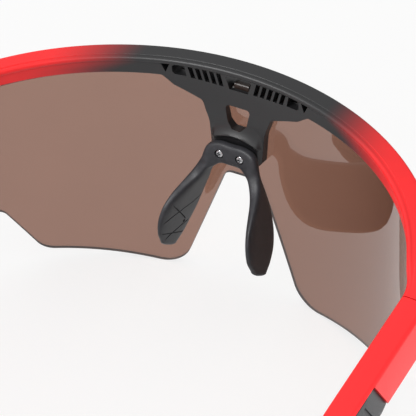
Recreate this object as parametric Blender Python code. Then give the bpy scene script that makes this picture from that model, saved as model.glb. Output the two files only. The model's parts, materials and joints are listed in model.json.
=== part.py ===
"""Wraparound sport sunglasses with a one-piece shield lens.

Frame of the part: metres, +Z up, +X towards the wearer's left, the lens faces -Y and the
temples run towards +Y. The glasses stand as on a table, on the lens's lower corners and
the two ear tips, and the origin is the bottom centre of the whole.

Everything at the front is laid out on one curved sheet. A place on it has three
coordinates: girth (along the sheet from the centre line), off (out from the sheet, positive
away from the face) and w (up the sheet, zero at the top of the brow). Everything on a
temple is laid out along the arm: s (back from the hinge seam), o (out from the inner face)
and v (down from the top face).
"""
from math import cos, pi, radians, sin, tan

import bmesh
import bpy
import numpy as np
from mathutils import Matrix, Vector

MM = 0.001
GAP = 0.3 * MM                  # between pieces that touch
THROUGH = 2.0 * MM              # how far a cutter runs past the face that it opens

# The curved sheet of the front: an ellipse in plan, straight up and down, leaning back
PLAN_HALF_WIDTH = 70.15 * MM
PLAN_DEPTH = 63.0 * MM
LEAN = radians(2.8)
SEAM_ANGLE = 1.362              # where the temples start, as the ellipse's angle

# Brow: the section's offsets from the sheet and its heights from the top
LEDGE_OUTER = 3.4 * MM
LEDGE_INNER = 1.1 * MM
BEAD_RADIUS = 0.75 * MM
BEAD_OFF = 1.95 * MM
BEAD_DROP = 0.8 * MM
WALL_OFF = 2.35 * MM
WALL_START = 1.7 * MM           # the inner wall starts this far below the top
WALL_HEIGHT = 4.95 * MM
WALL_LIFT = 0.35                # part of the brow's fall that the wall's lower edge makes up
FRONT_HEIGHT = 7.0 * MM
CENTRE_FRONT_HEIGHT = 8.6 * MM
FRONT_STEP_RUN = 10.0 * MM      # girth over which the front height changes, past the vents
BROW_DROP = 3.2 * MM            # how far the brow's top falls at its ends
END_START = 71.0 * MM           # girth where the brow starts to turn down to the hinge
END_RING = 80.0 * MM            # girth where the end piece leaves the sheet
END_EXTRA_DROP = 2.6 * MM
END_FULL_DROP = 92.0 * MM       # girth where the extra drop would be complete

# Centre bracket behind the lens
BRACKET_HALF_WIDTH = 7.3 * MM
BRACKET_DEPTH = 24.8 * MM
BRACKET_BACK = 3.3 * MM         # its wall's offset, reached over a ramp from the brow's
RAMP_TOP = 5.0 * MM
RAMP_HEIGHT = 9.0 * MM
FLARE_RUN = 1.6 * MM            # where the bracket's flare ends, past the vents
SEAT_BACK = 3.6 * MM
SEAT_HALF_WIDTH = 6.3 * MM
SEAT_EDGE_RUN = 1.5 * MM
LIP_DEPTH = 17.3 * MM           # the lip above the seat: its crest at the middle
LIP_RUN = 3.8 * MM
LIP_FALL = 0.9 * MM
LIP_HEIGHT = 0.55 * MM
ARCH_DROP = 2.0 * MM            # how far the lip falls from the middle to the bracket's sides
WINDOW_TOP = 9.9 * MM
WINDOW_HEIGHT = 6.3 * MM
WINDOW_TOP_HALF = 3.5 * MM
WINDOW_LOW_HALF = 2.5 * MM
WINDOW_CUT_FRONT = -1.5 * MM    # the window's cutter stops short of the front wall
WINDOW_CUT_BACK = 9.0 * MM

# Vents through the brow, above the lens
VENT_TOP = 1.75 * MM
VENT_FLOOR = 5.5 * MM
VENT_RISE = 1.1 * MM            # how far the row's floor rises from the centre to its ends
VENT_HALF_SPAN = 20.6 * MM
SLOT_COUNT = 5
SLOT_PITCH = 1.85 * MM
SLOT_WIDTH = 1.15 * MM
SLOT_FIRST = 5.55 * MM
SLOT_LEAN = 0.9 * MM
WIDE_SLOT_WIDTH = 3.1 * MM
SLOT_CORNER = 0.6 * MM
CENTRE_VENT_TOP_HALF = 3.5 * MM
CENTRE_VENT_LOW_HALF = 2.5 * MM
CUT_FRONT = -9.0 * MM           # how far the vents' cutters run along Y
CUT_BACK = 12.0 * MM

# Lens
LENS_THICKNESS = 1.8 * MM
LENS_SKIN = 2.5 * MM            # brow material above the lens edge
LENS_LOW = 66.4 * MM            # down to the corner between the notch and the lower edge
LENS_HALF_GIRTH = 79.0 * MM
LENS_SLOPE = 0.147              # rise of the lower edge towards the temples
LENS_CORNER = 55.3 * MM         # girth of the outer lower corner
NOTCH_TOP = 32.1 * MM
NOTCH_HALF_TOP = 5.0 * MM
NOTCH_HALF_LOW = 18.0 * MM
TAB_HALF_WIDTH = 2.0 * MM
TAB_HEIGHT = 1.3 * MM
VENT_LIP = 0.1 * MM             # how far the lens's edge lies under the vents' floor
STEP_RUN = 0.05 * MM            # run of the steps in the lens's upper edge

# Nose piece
SADDLE_THICKNESS = 2.8 * MM
SADDLE_TOP = 19.2 * MM
SADDLE_HEIGHT = 5.6 * MM
NOSE_SCREW_X = 2.86 * MM
NOSE_SCREW_Z = 22.0 * MM
NOSE_HEAD_RADIUS = 1.05 * MM
NOSE_SHAFT_RADIUS = 0.55 * MM
NOSE_HEAD_HEIGHT = 0.7 * MM
NOSE_SCREW_BITE = 2.6 * MM      # how far the screws run into the bracket
CROSS_DEPTH = 0.4 * MM

# Temples
ARM_THICKNESS = 6.2 * MM
ARM_HEIGHT = 12.4 * MM
ARM_SLOPE = radians(11.25)
ARM_TOE_IN = radians(1.5)
ARM_LENGTH = 124.0 * MM
ARM_ROUNDING = 1.0 * MM
ARM_TOP_DROP = 9.9 * MM         # the seam's top, below the brow's top
TAPER_START = 30.0 * MM
ARM_THINNING = 1.0 * MM
ARM_LOWERING = 3.4 * MM
EAR_LENGTH = 52.0 * MM          # the bent rear of the arm
EAR_CURVE = 1.5                 # how the ear bend grows along the arm
TIP_LENGTH = 42.0 * MM
TONGUE_LENGTH = 24.0 * MM
TONGUE_THICKNESS = 2.6 * MM
TONGUE_HEIGHT = 4.6 * MM
TIP_THICKNESS = 6.4 * MM
TIP_HEIGHT = 9.6 * MM
TIP_INWARD = 5.0 * MM
TIP_SWELL_RUN = 10.0 * MM
TIP_END_RUN = 4.0 * MM          # length of the rounded end
TIP_ROUNDING = 0.38             # corner radius, as part of the thickness
FOOT_DEPTH = 0.5 * MM           # how deep the flat foot is cut into the tip
EAR_START = ARM_LENGTH - EAR_LENGTH
TIP_START = ARM_LENGTH - TIP_LENGTH
INLAY_START = 25.0 * MM
INLAY_SLANT = 0.477
INLAY_DEPTH = 1.8 * MM

# Hinge
BARREL_RADIUS = 1.6 * MM
BARREL_TOP = 4.4 * MM           # below the arm's top
KNUCKLE_HEIGHT = 1.8 * MM
LEAF_THICKNESS = 1.0 * MM
LEAF_LENGTH = 5.6 * MM
LEAF_START = 2.0 * MM
LEAF_INSET = 0.1 * MM           # of the leaves below the arm's inner face
LEAF_SCREW_AT = 0.55            # the screw's place along the leaf
PIVOT_RADIUS = 0.5 * MM
PIVOT_HEAD_RADIUS = 1.0 * MM
PIVOT_HEAD_HEIGHT = 0.8 * MM
LEAF_SCREW_RADIUS = 0.45 * MM
LEAF_SCREW_HEAD = 0.95 * MM
LEAF_SCREW_LENGTH = 2.6 * MM


# ---------------------------------------------------------------- layout

ANGLES = np.linspace(0.0, pi / 2, 1801)
SPEEDS = np.hypot(PLAN_HALF_WIDTH * np.cos(ANGLES), PLAN_DEPTH * np.sin(ANGLES))
GIRTHS = np.concatenate([[0.0], np.cumsum((SPEEDS[1:] + SPEEDS[:-1]) / 2) * (ANGLES[1] - ANGLES[0])])


def front_point(girth, off, w):
    """Place a point of the front: girth along the sheet, off out of it, w up it."""
    angle = float(np.interp(abs(girth), GIRTHS, ANGLES))
    x, y = PLAN_HALF_WIDTH * sin(angle), PLAN_DEPTH * (1 - cos(angle))
    normal = Vector((PLAN_DEPTH * sin(angle), -PLAN_HALF_WIDTH * cos(angle))).normalized()
    x += normal.x * off
    y += normal.y * off
    if girth < 0:
        x = -x
    return Vector((x, y * cos(LEAN) + w * sin(LEAN), w * cos(LEAN) - y * sin(LEAN)))


def sheet_y(x, w):
    """How far back the sheet is at a place near the centre line."""
    return front_point(x, 0.0, w).y


def smooth(value):
    """Ease from 0 to 1 as value goes from 0 to 1."""
    value = min(max(value, 0.0), 1.0)
    return value * value * (3 - 2 * value)


ARM_IN = 2.5 * MM               # the arm's inner face, inside the sheet
ARM_DIRECTION = Vector((-sin(ARM_TOE_IN) * cos(ARM_SLOPE), cos(ARM_TOE_IN) * cos(ARM_SLOPE), -sin(ARM_SLOPE)))
ARM_OUT = Vector((cos(ARM_TOE_IN), sin(ARM_TOE_IN), 0.0))
ARM_UP = ARM_OUT.cross(ARM_DIRECTION)
ARM_ORIGIN = Vector((PLAN_HALF_WIDTH * sin(SEAM_ANGLE) - ARM_IN, PLAN_DEPTH * (1 - cos(SEAM_ANGLE)), -ARM_TOP_DROP))


def arm_point(side, s, o, v):
    """Place a point of a temple: side is +1 for the left one and -1 for the right one."""
    point = ARM_ORIGIN + ARM_DIRECTION * s + ARM_OUT * o - ARM_UP * v
    return Vector((point.x * side, point.y, point.z))


def round_corners(corners, steps=5):
    """Turn corners (x, y, radius) of an open outline into points, with an arc at each corner."""
    points = [Vector(corners[0][:2])]
    for before, corner, after in zip(corners, corners[1:], corners[2:]):
        at = Vector(corner[:2])
        back = (Vector(before[:2]) - at).normalized()
        ahead = (Vector(after[:2]) - at).normalized()
        half = back.angle(ahead) / 2
        centre = at + (back + ahead).normalized() * (corner[2] / sin(half))
        start = at + back * (corner[2] / tan(half)) - centre
        sweep = start.angle_signed(at + ahead * (corner[2] / tan(half)) - centre)
        for step in range(steps + 1):
            points.append(centre + Matrix.Rotation(-sweep * step / steps, 2) @ start)
    points.append(Vector(corners[-1][:2]))
    return points


def spaced(points, step):
    """Add points to an outline so that none are further apart than step."""
    result = [points[0]]
    for start, end in zip(points, points[1:]):
        count = max(1, round((end - start).length / step + 0.3))
        result += [start.lerp(end, i / count) for i in range(1, count + 1)]
    return result


# ---------------------------------------------------------------- tools

COLLECTIONS = {}
ROOT_NAME = "sunglasses"


def collection(name):
    if name not in COLLECTIONS:
        COLLECTIONS[name] = bpy.data.collections.new(name)
        bpy.context.scene.collection.children.link(COLLECTIONS[name])
    return COLLECTIONS[name]


def material(name, colour, roughness, metallic=0.0):
    made = bpy.data.materials.get(name)
    if made is None:
        made = bpy.data.materials.new(name)
        made.use_nodes = True
        shader = made.node_tree.nodes["Principled BSDF"]
        shader.inputs["Base Color"].default_value = (*colour, 1.0)
        shader.inputs["Roughness"].default_value = roughness
        shader.inputs["Metallic"].default_value = metallic
    return made


def red_nylon():
    return material("red_nylon", (0.85, 0.03, 0.04), 0.4)


def dark_rubber():
    return material("dark_rubber", (0.03, 0.03, 0.035), 0.6)


def brown_polycarbonate():
    return material("brown_polycarbonate", (0.3, 0.17, 0.13), 0.08)


def steel():
    return material("steel", (0.75, 0.75, 0.77), 0.25, 1.0)


def add(name, mesh, finish=None, parent=None):
    """Make an object from a mesh: a part when it has a finish, a cutter when it has none."""
    parent = parent or bpy.data.objects[ROOT_NAME]
    thing = bpy.data.objects.new(name, mesh)
    collection("sport_sunglasses" if finish else "cutters").objects.link(thing)
    if finish:
        mesh.materials.append(finish)
        mesh.shade_smooth()
        mesh.set_sharp_from_angle(angle=radians(35))
    else:
        thing.hide_render = True
        thing.display_type = 'WIRE'
    thing.parent = parent
    thing.matrix_parent_inverse = Matrix.Translation(-parent.location)
    return thing


def loft_mesh(name, rings):
    """Skin a row of rings with equally many points, and close both ends."""
    bm = bmesh.new()
    rows = [[bm.verts.new(point) for point in ring] for ring in rings]
    for row, after in zip(rows, rows[1:]):
        for i in range(len(row)):
            j = (i + 1) % len(row)
            bm.faces.new((row[i], row[j], after[j], after[i]))
    bm.faces.new(rows[0])
    bm.faces.new(rows[-1])
    bmesh.ops.recalc_face_normals(bm, faces=bm.faces)
    mesh = bpy.data.meshes.new(name)
    bm.to_mesh(mesh)
    bm.free()
    return mesh


def cylinder_mesh(name, start, end, radius, sides=20):
    """A round bar from start to end."""
    bm = bmesh.new()
    axis = end - start
    place = Matrix.Translation((start + end) / 2) @ axis.to_track_quat('Z', 'Y').to_matrix().to_4x4()
    bmesh.ops.create_cone(bm, cap_ends=True, segments=sides, radius1=radius, radius2=radius,
                          depth=axis.length, matrix=place)
    mesh = bpy.data.meshes.new(name)
    bm.to_mesh(mesh)
    bm.free()
    return mesh


def combine(thing, tool, operation='DIFFERENCE'):
    """Cut the tool out of the thing, or join it on."""
    modifier = thing.modifiers.new(tool.name, 'BOOLEAN')
    modifier.operation = operation
    modifier.solver = 'EXACT'
    modifier.object = tool


def catmull(points, steps):
    """Pass a smooth curve through equally spaced stations, with steps pieces between two."""
    ends = [points[0] * 2 - points[1]] + list(points) + [points[-1] * 2 - points[-2]]
    result = []
    for k in range(1, len(ends) - 2):
        p0, p1, p2, p3 = ends[k - 1:k + 3]
        for i in range(steps):
            t = i / steps
            result.append(p1 + (p2 - p0) * (t / 2) + (p0 * 2 - p1 * 5 + p2 * 4 - p3) * (t * t / 2)
                          + (p1 * 3 - p0 - p2 * 3 + p3) * (t ** 3 / 2))
    return result + [points[-1]]


# ---------------------------------------------------------------- brow frame

def brow_top(girth):
    fall = BROW_DROP * (girth / LENS_HALF_GIRTH) ** 2
    return -fall - END_EXTRA_DROP * smooth((abs(girth) - END_START) / (END_FULL_DROP - END_START))


def brow_low(girth):
    """Lower edge of the inner wall away from the bracket."""
    return brow_top(girth) - WALL_HEIGHT + WALL_LIFT * (BROW_DROP * (girth / LENS_HALF_GIRTH) ** 2)


def front_low(girth):
    side = smooth((abs(girth) - VENT_HALF_SPAN) / FRONT_STEP_RUN)
    return -CENTRE_FRONT_HEIGHT * (1 - side) + (brow_top(girth) - FRONT_HEIGHT) * side


def inner_edge():
    """The inner wall's lower edge from the centre out past the vents: bracket, flare and brow."""
    flare_end = VENT_HALF_SPAN + FLARE_RUN
    corners = [
        (0.0, -BRACKET_DEPTH, 0.0),
        (BRACKET_HALF_WIDTH, -BRACKET_DEPTH, 1.6 * MM),
        (BRACKET_HALF_WIDTH + 0.7 * MM, -BRACKET_DEPTH + 9.3 * MM, 8 * MM),
        (BRACKET_HALF_WIDTH + 2.6 * MM, -WINDOW_TOP - 0.4 * MM, 1.8 * MM),
        (VENT_HALF_SPAN - 2.8 * MM, -WINDOW_TOP + 2.4 * MM, 2.4 * MM),
        (VENT_HALF_SPAN + 0.4 * MM, brow_low(VENT_HALF_SPAN), 1.6 * MM),
        (flare_end + 3 * MM, brow_low(flare_end + 3 * MM), 0.0),
    ]
    return spaced(round_corners(corners, 4), 2.2 * MM)


def back_off(girth, w):
    """How far the inner wall stands off the sheet, with the bracket's arched lip and its flat seat."""
    depth = -w
    wall = WALL_OFF + (BRACKET_BACK - WALL_OFF) * smooth((depth - RAMP_TOP) / RAMP_HEIGHT)
    seat = WALL_OFF
    if abs(girth) < BRACKET_HALF_WIDTH + 2 * MM:
        seat = max(SEAT_BACK - sheet_y(girth, w), WALL_OFF)
    past = depth - LIP_DEPTH - ARCH_DROP * (girth / BRACKET_HALF_WIDTH) ** 2
    climb = min(max(past / LIP_RUN + 1, 0.0), 1.0) ** 2
    lip = LIP_HEIGHT * climb * (1 - smooth(past / LIP_FALL))
    inside = 1 - smooth((abs(girth) - SEAT_HALF_WIDTH) / SEAT_EDGE_RUN)
    return -(wall + ((seat - wall) * climb + lip) * inside)


def bowed(part, girth):
    """How far down the wall a row runs, of the wall's height, bowed as the lip is."""
    bow = ARCH_DROP / BRACKET_DEPTH * min(1.0, abs(girth) / BRACKET_HALF_WIDTH) ** 2
    return part + 4 * bow * part * (1 - part)


WALL_ROWS = (0.05, 0.35, 0.51, 0.60, 0.65, 0.675, 0.70, 0.722, 0.975)


def brow_profile(girth, low):
    """The brow's closed section as (off, w), from its outer top edge round the inner side."""
    top = brow_top(girth)
    front = front_low(girth)
    bead = [(-BEAD_OFF + BEAD_RADIUS * cos(radians(a)), top - BEAD_DROP + BEAD_RADIUS * sin(radians(a)))
            for a in (55, 100, 145, 195, 240)]
    wall_top = top - WALL_START
    rows = [wall_top + (low - wall_top) * bowed(part, girth) for part in WALL_ROWS]
    wall = [(back_off(girth, w), w) for w in rows]
    edge = back_off(girth, low)
    return ([(LEDGE_OUTER, top - 0.6 * MM), (LEDGE_OUTER - 0.5 * MM, top), (-LEDGE_INNER, top - 0.02 * MM),
             (-LEDGE_INNER - 0.28 * MM, top - 0.42 * MM)]
            + bead + wall
            + [(edge + 0.45 * MM, low), (0.0, low), (0.0, front),
               (LEDGE_OUTER - 1.2 * MM, front), (LEDGE_OUTER - 0.7 * MM, front + 0.6 * MM)])


def seam_profile():
    """The end piece's closed section at the hinge seam as (o, v), in the brow profile's order."""
    corner = 0.7 * MM
    wide, tall = ARM_THICKNESS, ARM_HEIGHT
    top_run = [(wide - corner, 0.0), (1.9 * MM, 0.0), (1.5 * MM, 0.0), (1.1 * MM, 0.0), (0.8 * MM, 0.02 * MM),
               (0.45 * MM, 0.1 * MM), (0.15 * MM, 0.35 * MM), (0.02 * MM, 0.7 * MM)]
    inner = [(0.0, 1.2 * MM + (tall - 1.9 * MM) * part) for part in WALL_ROWS]
    return ([(wide, corner)] + top_run + inner
            + [(corner, tall), (ARM_IN, tall), (ARM_IN + 0.4 * MM, tall), (wide - corner, tall),
               (wide, tall - corner)])


def brow_ring(girth, low):
    return [front_point(girth, off, w) for off, w in brow_profile(girth, low)]


def end_rings(side):
    """Rings that carry the brow's section smoothly into the hinge seam's section."""
    first = brow_ring(side * END_RING, brow_low(END_RING))
    before = brow_ring(side * (END_RING - MM), brow_low(END_RING - MM))
    last = [arm_point(side, -GAP / 2, o, v) for o, v in seam_profile()]
    ahead = Vector((ARM_DIRECTION.x * side, ARM_DIRECTION.y, ARM_DIRECTION.z))
    rings = []
    for i in range(1, 7):
        t = i / 6
        ring = []
        for start, behind, end in zip(first, before, last):
            reach = (end - start).length
            leave = (start - behind).normalized() * reach
            ring.append(start * (1 + t * t * (2 * t - 3)) + leave * (t * (1 - t) ** 2)
                        + end * (t * t * (3 - 2 * t)) + ahead * (reach * t * t * (t - 1)))
        rings.append(ring)
    return rings


def half_sections():
    """Sections of one half from the centre outwards, as (girth, lower edge)."""
    sections = [(point.x, point.y) for point in inner_edge()]
    count = 15
    start = sections[-1][0]
    for i in range(1, count + 1):
        girth = start + (END_RING - start) * i / count
        sections.append((girth, brow_low(girth)))
    return sections


def lens_top(girth, tab_half, vent_half):
    """Upper edge of the lens: under the brow's skin at the sides, below the vents between them,
    with a tab in the middle."""
    side = abs(girth)
    if side <= tab_half:
        return -VENT_FLOOR - VENT_LIP + TAB_HEIGHT
    if side <= vent_half:
        return -VENT_FLOOR - VENT_LIP + VENT_RISE * side / VENT_HALF_SPAN
    return brow_top(girth) - LENS_SKIN


def top_steps(tab_half, vent_half):
    """Girths on both sides of each step in the lens's upper edge."""
    return [tab_half, tab_half + STEP_RUN, vent_half, vent_half + STEP_RUN]


def band_rings(sections, half_thickness):
    """Rings of a strip of the curved sheet, from sections (girth, lower w, upper w)."""
    return [[front_point(girth, half_thickness, low), front_point(girth, half_thickness, high),
             front_point(girth, -half_thickness, high), front_point(girth, -half_thickness, low)]
            for girth, low, high in sections]


def groove_cutter():
    """The lens groove with its clearance, run down past the bracket's lower end."""
    tab_half, vent_half = TAB_HALF_WIDTH + GAP, VENT_HALF_SPAN
    end = LENS_HALF_GIRTH + GAP
    stops = [0.0, 8 * MM, 14 * MM] + top_steps(tab_half, vent_half)
    stops += [float(g) for g in np.linspace(vent_half + 4 * MM, end, 18)]
    low = -BRACKET_DEPTH - 5 * MM
    half = [(g, low, lens_top(g, tab_half, vent_half) + GAP) for g in sorted(stops)]
    sections = [(-g, a, b) for g, a, b in reversed(half[1:])] + half
    return add("groove_cutter", loft_mesh("groove_cutter", band_rings(sections, LENS_THICKNESS / 2 + GAP)))


def prism(name, outline, front, back):
    """A cutter with an outline in X and Z, run along Y from front to back."""
    return add(name, loft_mesh(name, [[Vector((x, y, z)) for x, z in outline] for y in (front, back)]))


def vent_cutters(side):
    """Slots of one half: five leaning ones, a wide one and a triangle."""
    outlines = []
    for i in range(SLOT_COUNT):
        x = SLOT_FIRST + i * SLOT_PITCH
        floor = -VENT_FLOOR + VENT_RISE * x / VENT_HALF_SPAN
        low_x = x - SLOT_LEAN
        outline = [(x - SLOT_WIDTH / 2, -VENT_TOP), (x + SLOT_WIDTH / 2, -VENT_TOP),
                   (low_x + SLOT_WIDTH / 2, floor), (low_x - SLOT_WIDTH / 2, floor)]
        outlines.append(("slot", outline))
    wide_in = SLOT_FIRST + SLOT_COUNT * SLOT_PITCH - 0.4 * MM
    wide_out = wide_in + WIDE_SLOT_WIDTH
    wide_floor = -VENT_FLOOR + VENT_RISE * 0.95
    outlines.append(("wide_slot", [(wide_in, -VENT_TOP), (wide_out - SLOT_CORNER, -VENT_TOP),
                                   (wide_out, -VENT_TOP - SLOT_CORNER),
                                   (wide_out - 0.1 * MM, wide_floor + SLOT_CORNER),
                                   (wide_out - 0.7 * MM, wide_floor), (wide_in - 0.6 * MM, wide_floor - 0.15 * MM)]))
    outlines.append(("end_slot", [(wide_out + 0.6 * MM, -VENT_TOP + 0.1 * MM),
                                  (VENT_HALF_SPAN - 0.3 * MM, -VENT_TOP), (wide_out + 1.6 * MM, -4.2 * MM)]))
    return [prism(f"{name}_{side:+d}_{i}", [(x * side, z) for x, z in outline], CUT_FRONT, CUT_BACK)
            for i, (name, outline) in enumerate(outlines)]


def centre_vent_cutter():
    half = [(CENTRE_VENT_TOP_HALF - SLOT_CORNER, -VENT_TOP), (CENTRE_VENT_TOP_HALF, -VENT_TOP - SLOT_CORNER),
            (CENTRE_VENT_LOW_HALF, -VENT_FLOOR)]
    outline = half + [(-x, z) for x, z in reversed(half)]
    return prism("centre_vent", outline, CUT_FRONT, CUT_BACK)


def window_cutter():
    """The shield-shaped window in the bracket, with a rounded lower end."""
    low = -WINDOW_TOP - WINDOW_HEIGHT
    corners = [(0.0, -WINDOW_TOP, 0.0), (WINDOW_TOP_HALF, -WINDOW_TOP, 0.9 * MM),
               (WINDOW_LOW_HALF + 0.1 * MM, low + 1.6 * MM, 1.2 * MM), (1.2 * MM, low, 1.0 * MM), (0.0, low, 0.0)]
    half = [(point.x, point.y) for point in round_corners(corners, 3)]
    outline = half[1:-1] + [(-x, z) for x, z in reversed(half[1:-1])]
    return prism("window", outline, WINDOW_CUT_FRONT, WINDOW_CUT_BACK)


def build_brow(root):
    half = half_sections()
    rings = [brow_ring(girth, low) for girth, low in half]
    other = [brow_ring(-girth, low) for girth, low in half]
    rings = list(reversed(end_rings(-1))) + list(reversed(other[1:])) + rings + end_rings(1)
    brow = add("brow_frame", loft_mesh("brow_frame", rings), red_nylon(), root)
    combine(brow, groove_cutter())
    combine(brow, centre_vent_cutter())
    combine(brow, window_cutter())
    for side in (1, -1):
        for tool in vent_cutters(side):
            combine(brow, tool)
        combine(brow, nose_screw_pilot(side))
        for tool in hinge_pockets(side, -1):
            combine(brow, tool)
    return brow


# ---------------------------------------------------------------- lens

def lens_edge():
    """Lower edge of one half of the lens, laid flat, from the notch to the temple end."""
    corner_w = -LENS_LOW + LENS_SLOPE * (LENS_CORNER - NOTCH_HALF_LOW)
    corners = [
        (0.0, -NOTCH_TOP, 0.0),
        (NOTCH_HALF_TOP, -NOTCH_TOP, 2.4 * MM),
        (NOTCH_HALF_LOW, -LENS_LOW, 8.0 * MM),
        (LENS_CORNER, corner_w, 7.0 * MM),
        (LENS_CORNER + 9.6 * MM, corner_w + 14.6 * MM, 4.0 * MM),
        (LENS_HALF_GIRTH - 3.5 * MM, corner_w + 19.5 * MM, 6.0 * MM),
        (LENS_HALF_GIRTH, corner_w + 40.0 * MM, 0.0),
    ]
    return spaced(round_corners(corners, 6), 6 * MM)


def build_lens(root):
    tab_half, vent_half = TAB_HALF_WIDTH, VENT_HALF_SPAN + 2 * GAP
    edge = lens_edge()
    girths, lows = [point.x for point in edge], [point.y for point in edge]
    stops = sorted(girths + top_steps(tab_half, vent_half))
    half = [(g, float(np.interp(g, girths, lows)), lens_top(g, tab_half, vent_half)) for g in stops]
    sections = [(-g, a, b) for g, a, b in reversed(half[1:])] + half
    rings = band_rings(sections, LENS_THICKNESS / 2)
    return add("shield_lens", loft_mesh("shield_lens", rings), brown_polycarbonate(), root)


def lowest_lens_point():
    return min(front_point(point.x, -LENS_THICKNESS / 2, point.y).z for point in lens_edge())


# ---------------------------------------------------------------- nose piece

def nose_stations():
    """Half the nose piece from its middle to a pad's tip. Each station is the section's four
    corners: medial rear, lateral rear, lateral front and medial front."""
    front, rear = SEAT_BACK + GAP, SEAT_BACK + GAP + SADDLE_THICKNESS
    top, low = -SADDLE_TOP, -SADDLE_TOP - SADDLE_HEIGHT
    saddle = [
        [(0.0, rear, low), (0.0, rear, top), (0.0, front, top), (0.0, front, low - 0.2 * MM)],
        [(2.8 * MM, rear, low - 0.2 * MM), (3.6 * MM, rear, top), (3.6 * MM, front, top),
         (2.8 * MM, front, low - 0.4 * MM)],
        [(4.7 * MM, rear + 0.9 * MM, low - 1.4 * MM), (6.6 * MM, rear + 0.2 * MM, top - 1.4 * MM),
         (6.5 * MM, front, top - 1.6 * MM), (4.7 * MM, front, low - 2.0 * MM)],
    ]
    arm = [
        [(5.9, 9.0, -26.2), (8.3, 6.6, -24.6), (8.0, 4.7, -26.2), (5.6, 4.5, -28.8)],
        [(7.0, 11.0, -28.0), (9.7, 8.6, -27.3), (9.1, 4.0, -30.0), (6.6, 3.6, -31.6)],
        [(8.2, 14.0, -29.4), (11.0, 12.4, -29.4), (10.0, 3.3, -33.6), (7.8, 3.1, -34.6)],
        [(9.3, 17.0, -30.8), (12.1, 16.2, -31.4), (11.0, 3.2, -37.6), (9.0, 3.1, -38.0)],
        [(10.3, 19.4, -32.9), (12.8, 19.0, -34.0), (12.0, 3.9, -41.6), (10.2, 3.9, -41.8)],
        [(11.2, 20.4, -36.4), (13.3, 20.1, -37.6), (12.8, 5.6, -45.4), (11.4, 5.6, -45.4)],
        [(11.9, 20.0, -41.0), (13.5, 19.6, -41.8), (13.3, 8.2, -48.2), (12.1, 8.2, -48.2)],
        [(12.3, 18.2, -44.9), (13.6, 18.0, -45.3), (13.7, 11.0, -49.7), (12.4, 11.0, -49.6)],
    ]
    return saddle + [[tuple(c * MM for c in corner) for corner in station] for station in arm]


def in_section(station, across, along):
    """A place in a section: across runs -1 to 1 medial to lateral, along -1 to 1 front to rear."""
    medial_rear, lateral_rear, lateral_front, medial_front = station
    rear = medial_rear.lerp(lateral_rear, (across + 1) / 2)
    front = medial_front.lerp(lateral_front, (across + 1) / 2)
    return front.lerp(rear, (along + 1) / 2)


def smooth_stations(stations, steps):
    corners = [[Vector(corner) for corner in track] for track in zip(*stations)]
    tracks = [catmull(track, steps) for track in corners]
    return list(zip(*tracks))


def mirrored(rings):
    """The whole from the half whose first ring lies on the centre plane."""
    other = [[Vector((-p.x, p.y, p.z)) for p in ring] for ring in reversed(rings[1:])]
    return other + rings


def section_outline(roundness, count=16):
    """A square from -1 to 1 with rounded corners, as a superellipse."""
    power = 2 / roundness
    points = []
    for i in range(count):
        angle = 2 * pi * (i + 0.5) / count
        c, s = cos(angle), sin(angle)
        points.append((abs(c) ** power * (1 if c > 0 else -1), abs(s) ** power * (1 if s > 0 else -1)))
    return points


def nose_core_rings(margin):
    """The metal core inside the rubber, grown by margin."""
    stations = smooth_stations(nose_stations(), 2)[:13]
    rings = []
    for k, station in enumerate(stations):
        into_arm = smooth((k - 2) / 4)
        across = 0.62 + (0.22 - 0.62) * into_arm
        low, high = -0.9 + 0.55 * into_arm, -0.35 + 0.45 * into_arm
        ring = [in_section(station, a, b) for a, b in ((-across, high), (across, high), (across, low), (-across, low))]
        centre = sum(ring, Vector()) / 4
        ring = [p + (p - centre).normalized() * margin * 1.6 for p in ring]
        rings.append(ring)
    if margin:
        rings.append([p * 2 - q for p, q in zip(rings[-1], rings[-2])])
        rings[-1] = [q + (p - q).normalized() * margin * 1.5 for p, q in zip(rings[-1], rings[-2])]
    return mirrored(rings)


def saddle_opening():
    """Opens the core's channel to the bracket's seat."""
    half, low, high = 3.9 * MM, -SADDLE_TOP - SADDLE_HEIGHT + 0.75 * MM, -SADDLE_TOP - 0.85 * MM
    outline = [(-half, low), (half, low), (half, high), (-half, high)]
    return prism("saddle_opening", outline, SEAT_BACK - MM, SEAT_BACK + GAP + 0.5 * MM)


def along_y(name, side, radius, start, end, sides=20):
    """A bar along Y at one nose screw's place."""
    at = Vector((side * NOSE_SCREW_X, 0.0, -NOSE_SCREW_Z))
    return cylinder_mesh(name, at + Vector((0, start, 0)), at + Vector((0, end, 0)), radius, sides)


SADDLE_REAR = SEAT_BACK + GAP + SADDLE_THICKNESS
NOSE_HEAD_FRONT = SADDLE_REAR - NOSE_HEAD_HEIGHT
NOSE_SCREW_TIP = SEAT_BACK - NOSE_SCREW_BITE


def nose_screw_pilot(side):
    radius = NOSE_SHAFT_RADIUS + GAP
    return add(f"nose_pilot_{side:+d}",
               along_y("nose_pilot", side, radius, NOSE_SCREW_TIP - GAP, SEAT_BACK + THROUGH))


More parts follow.
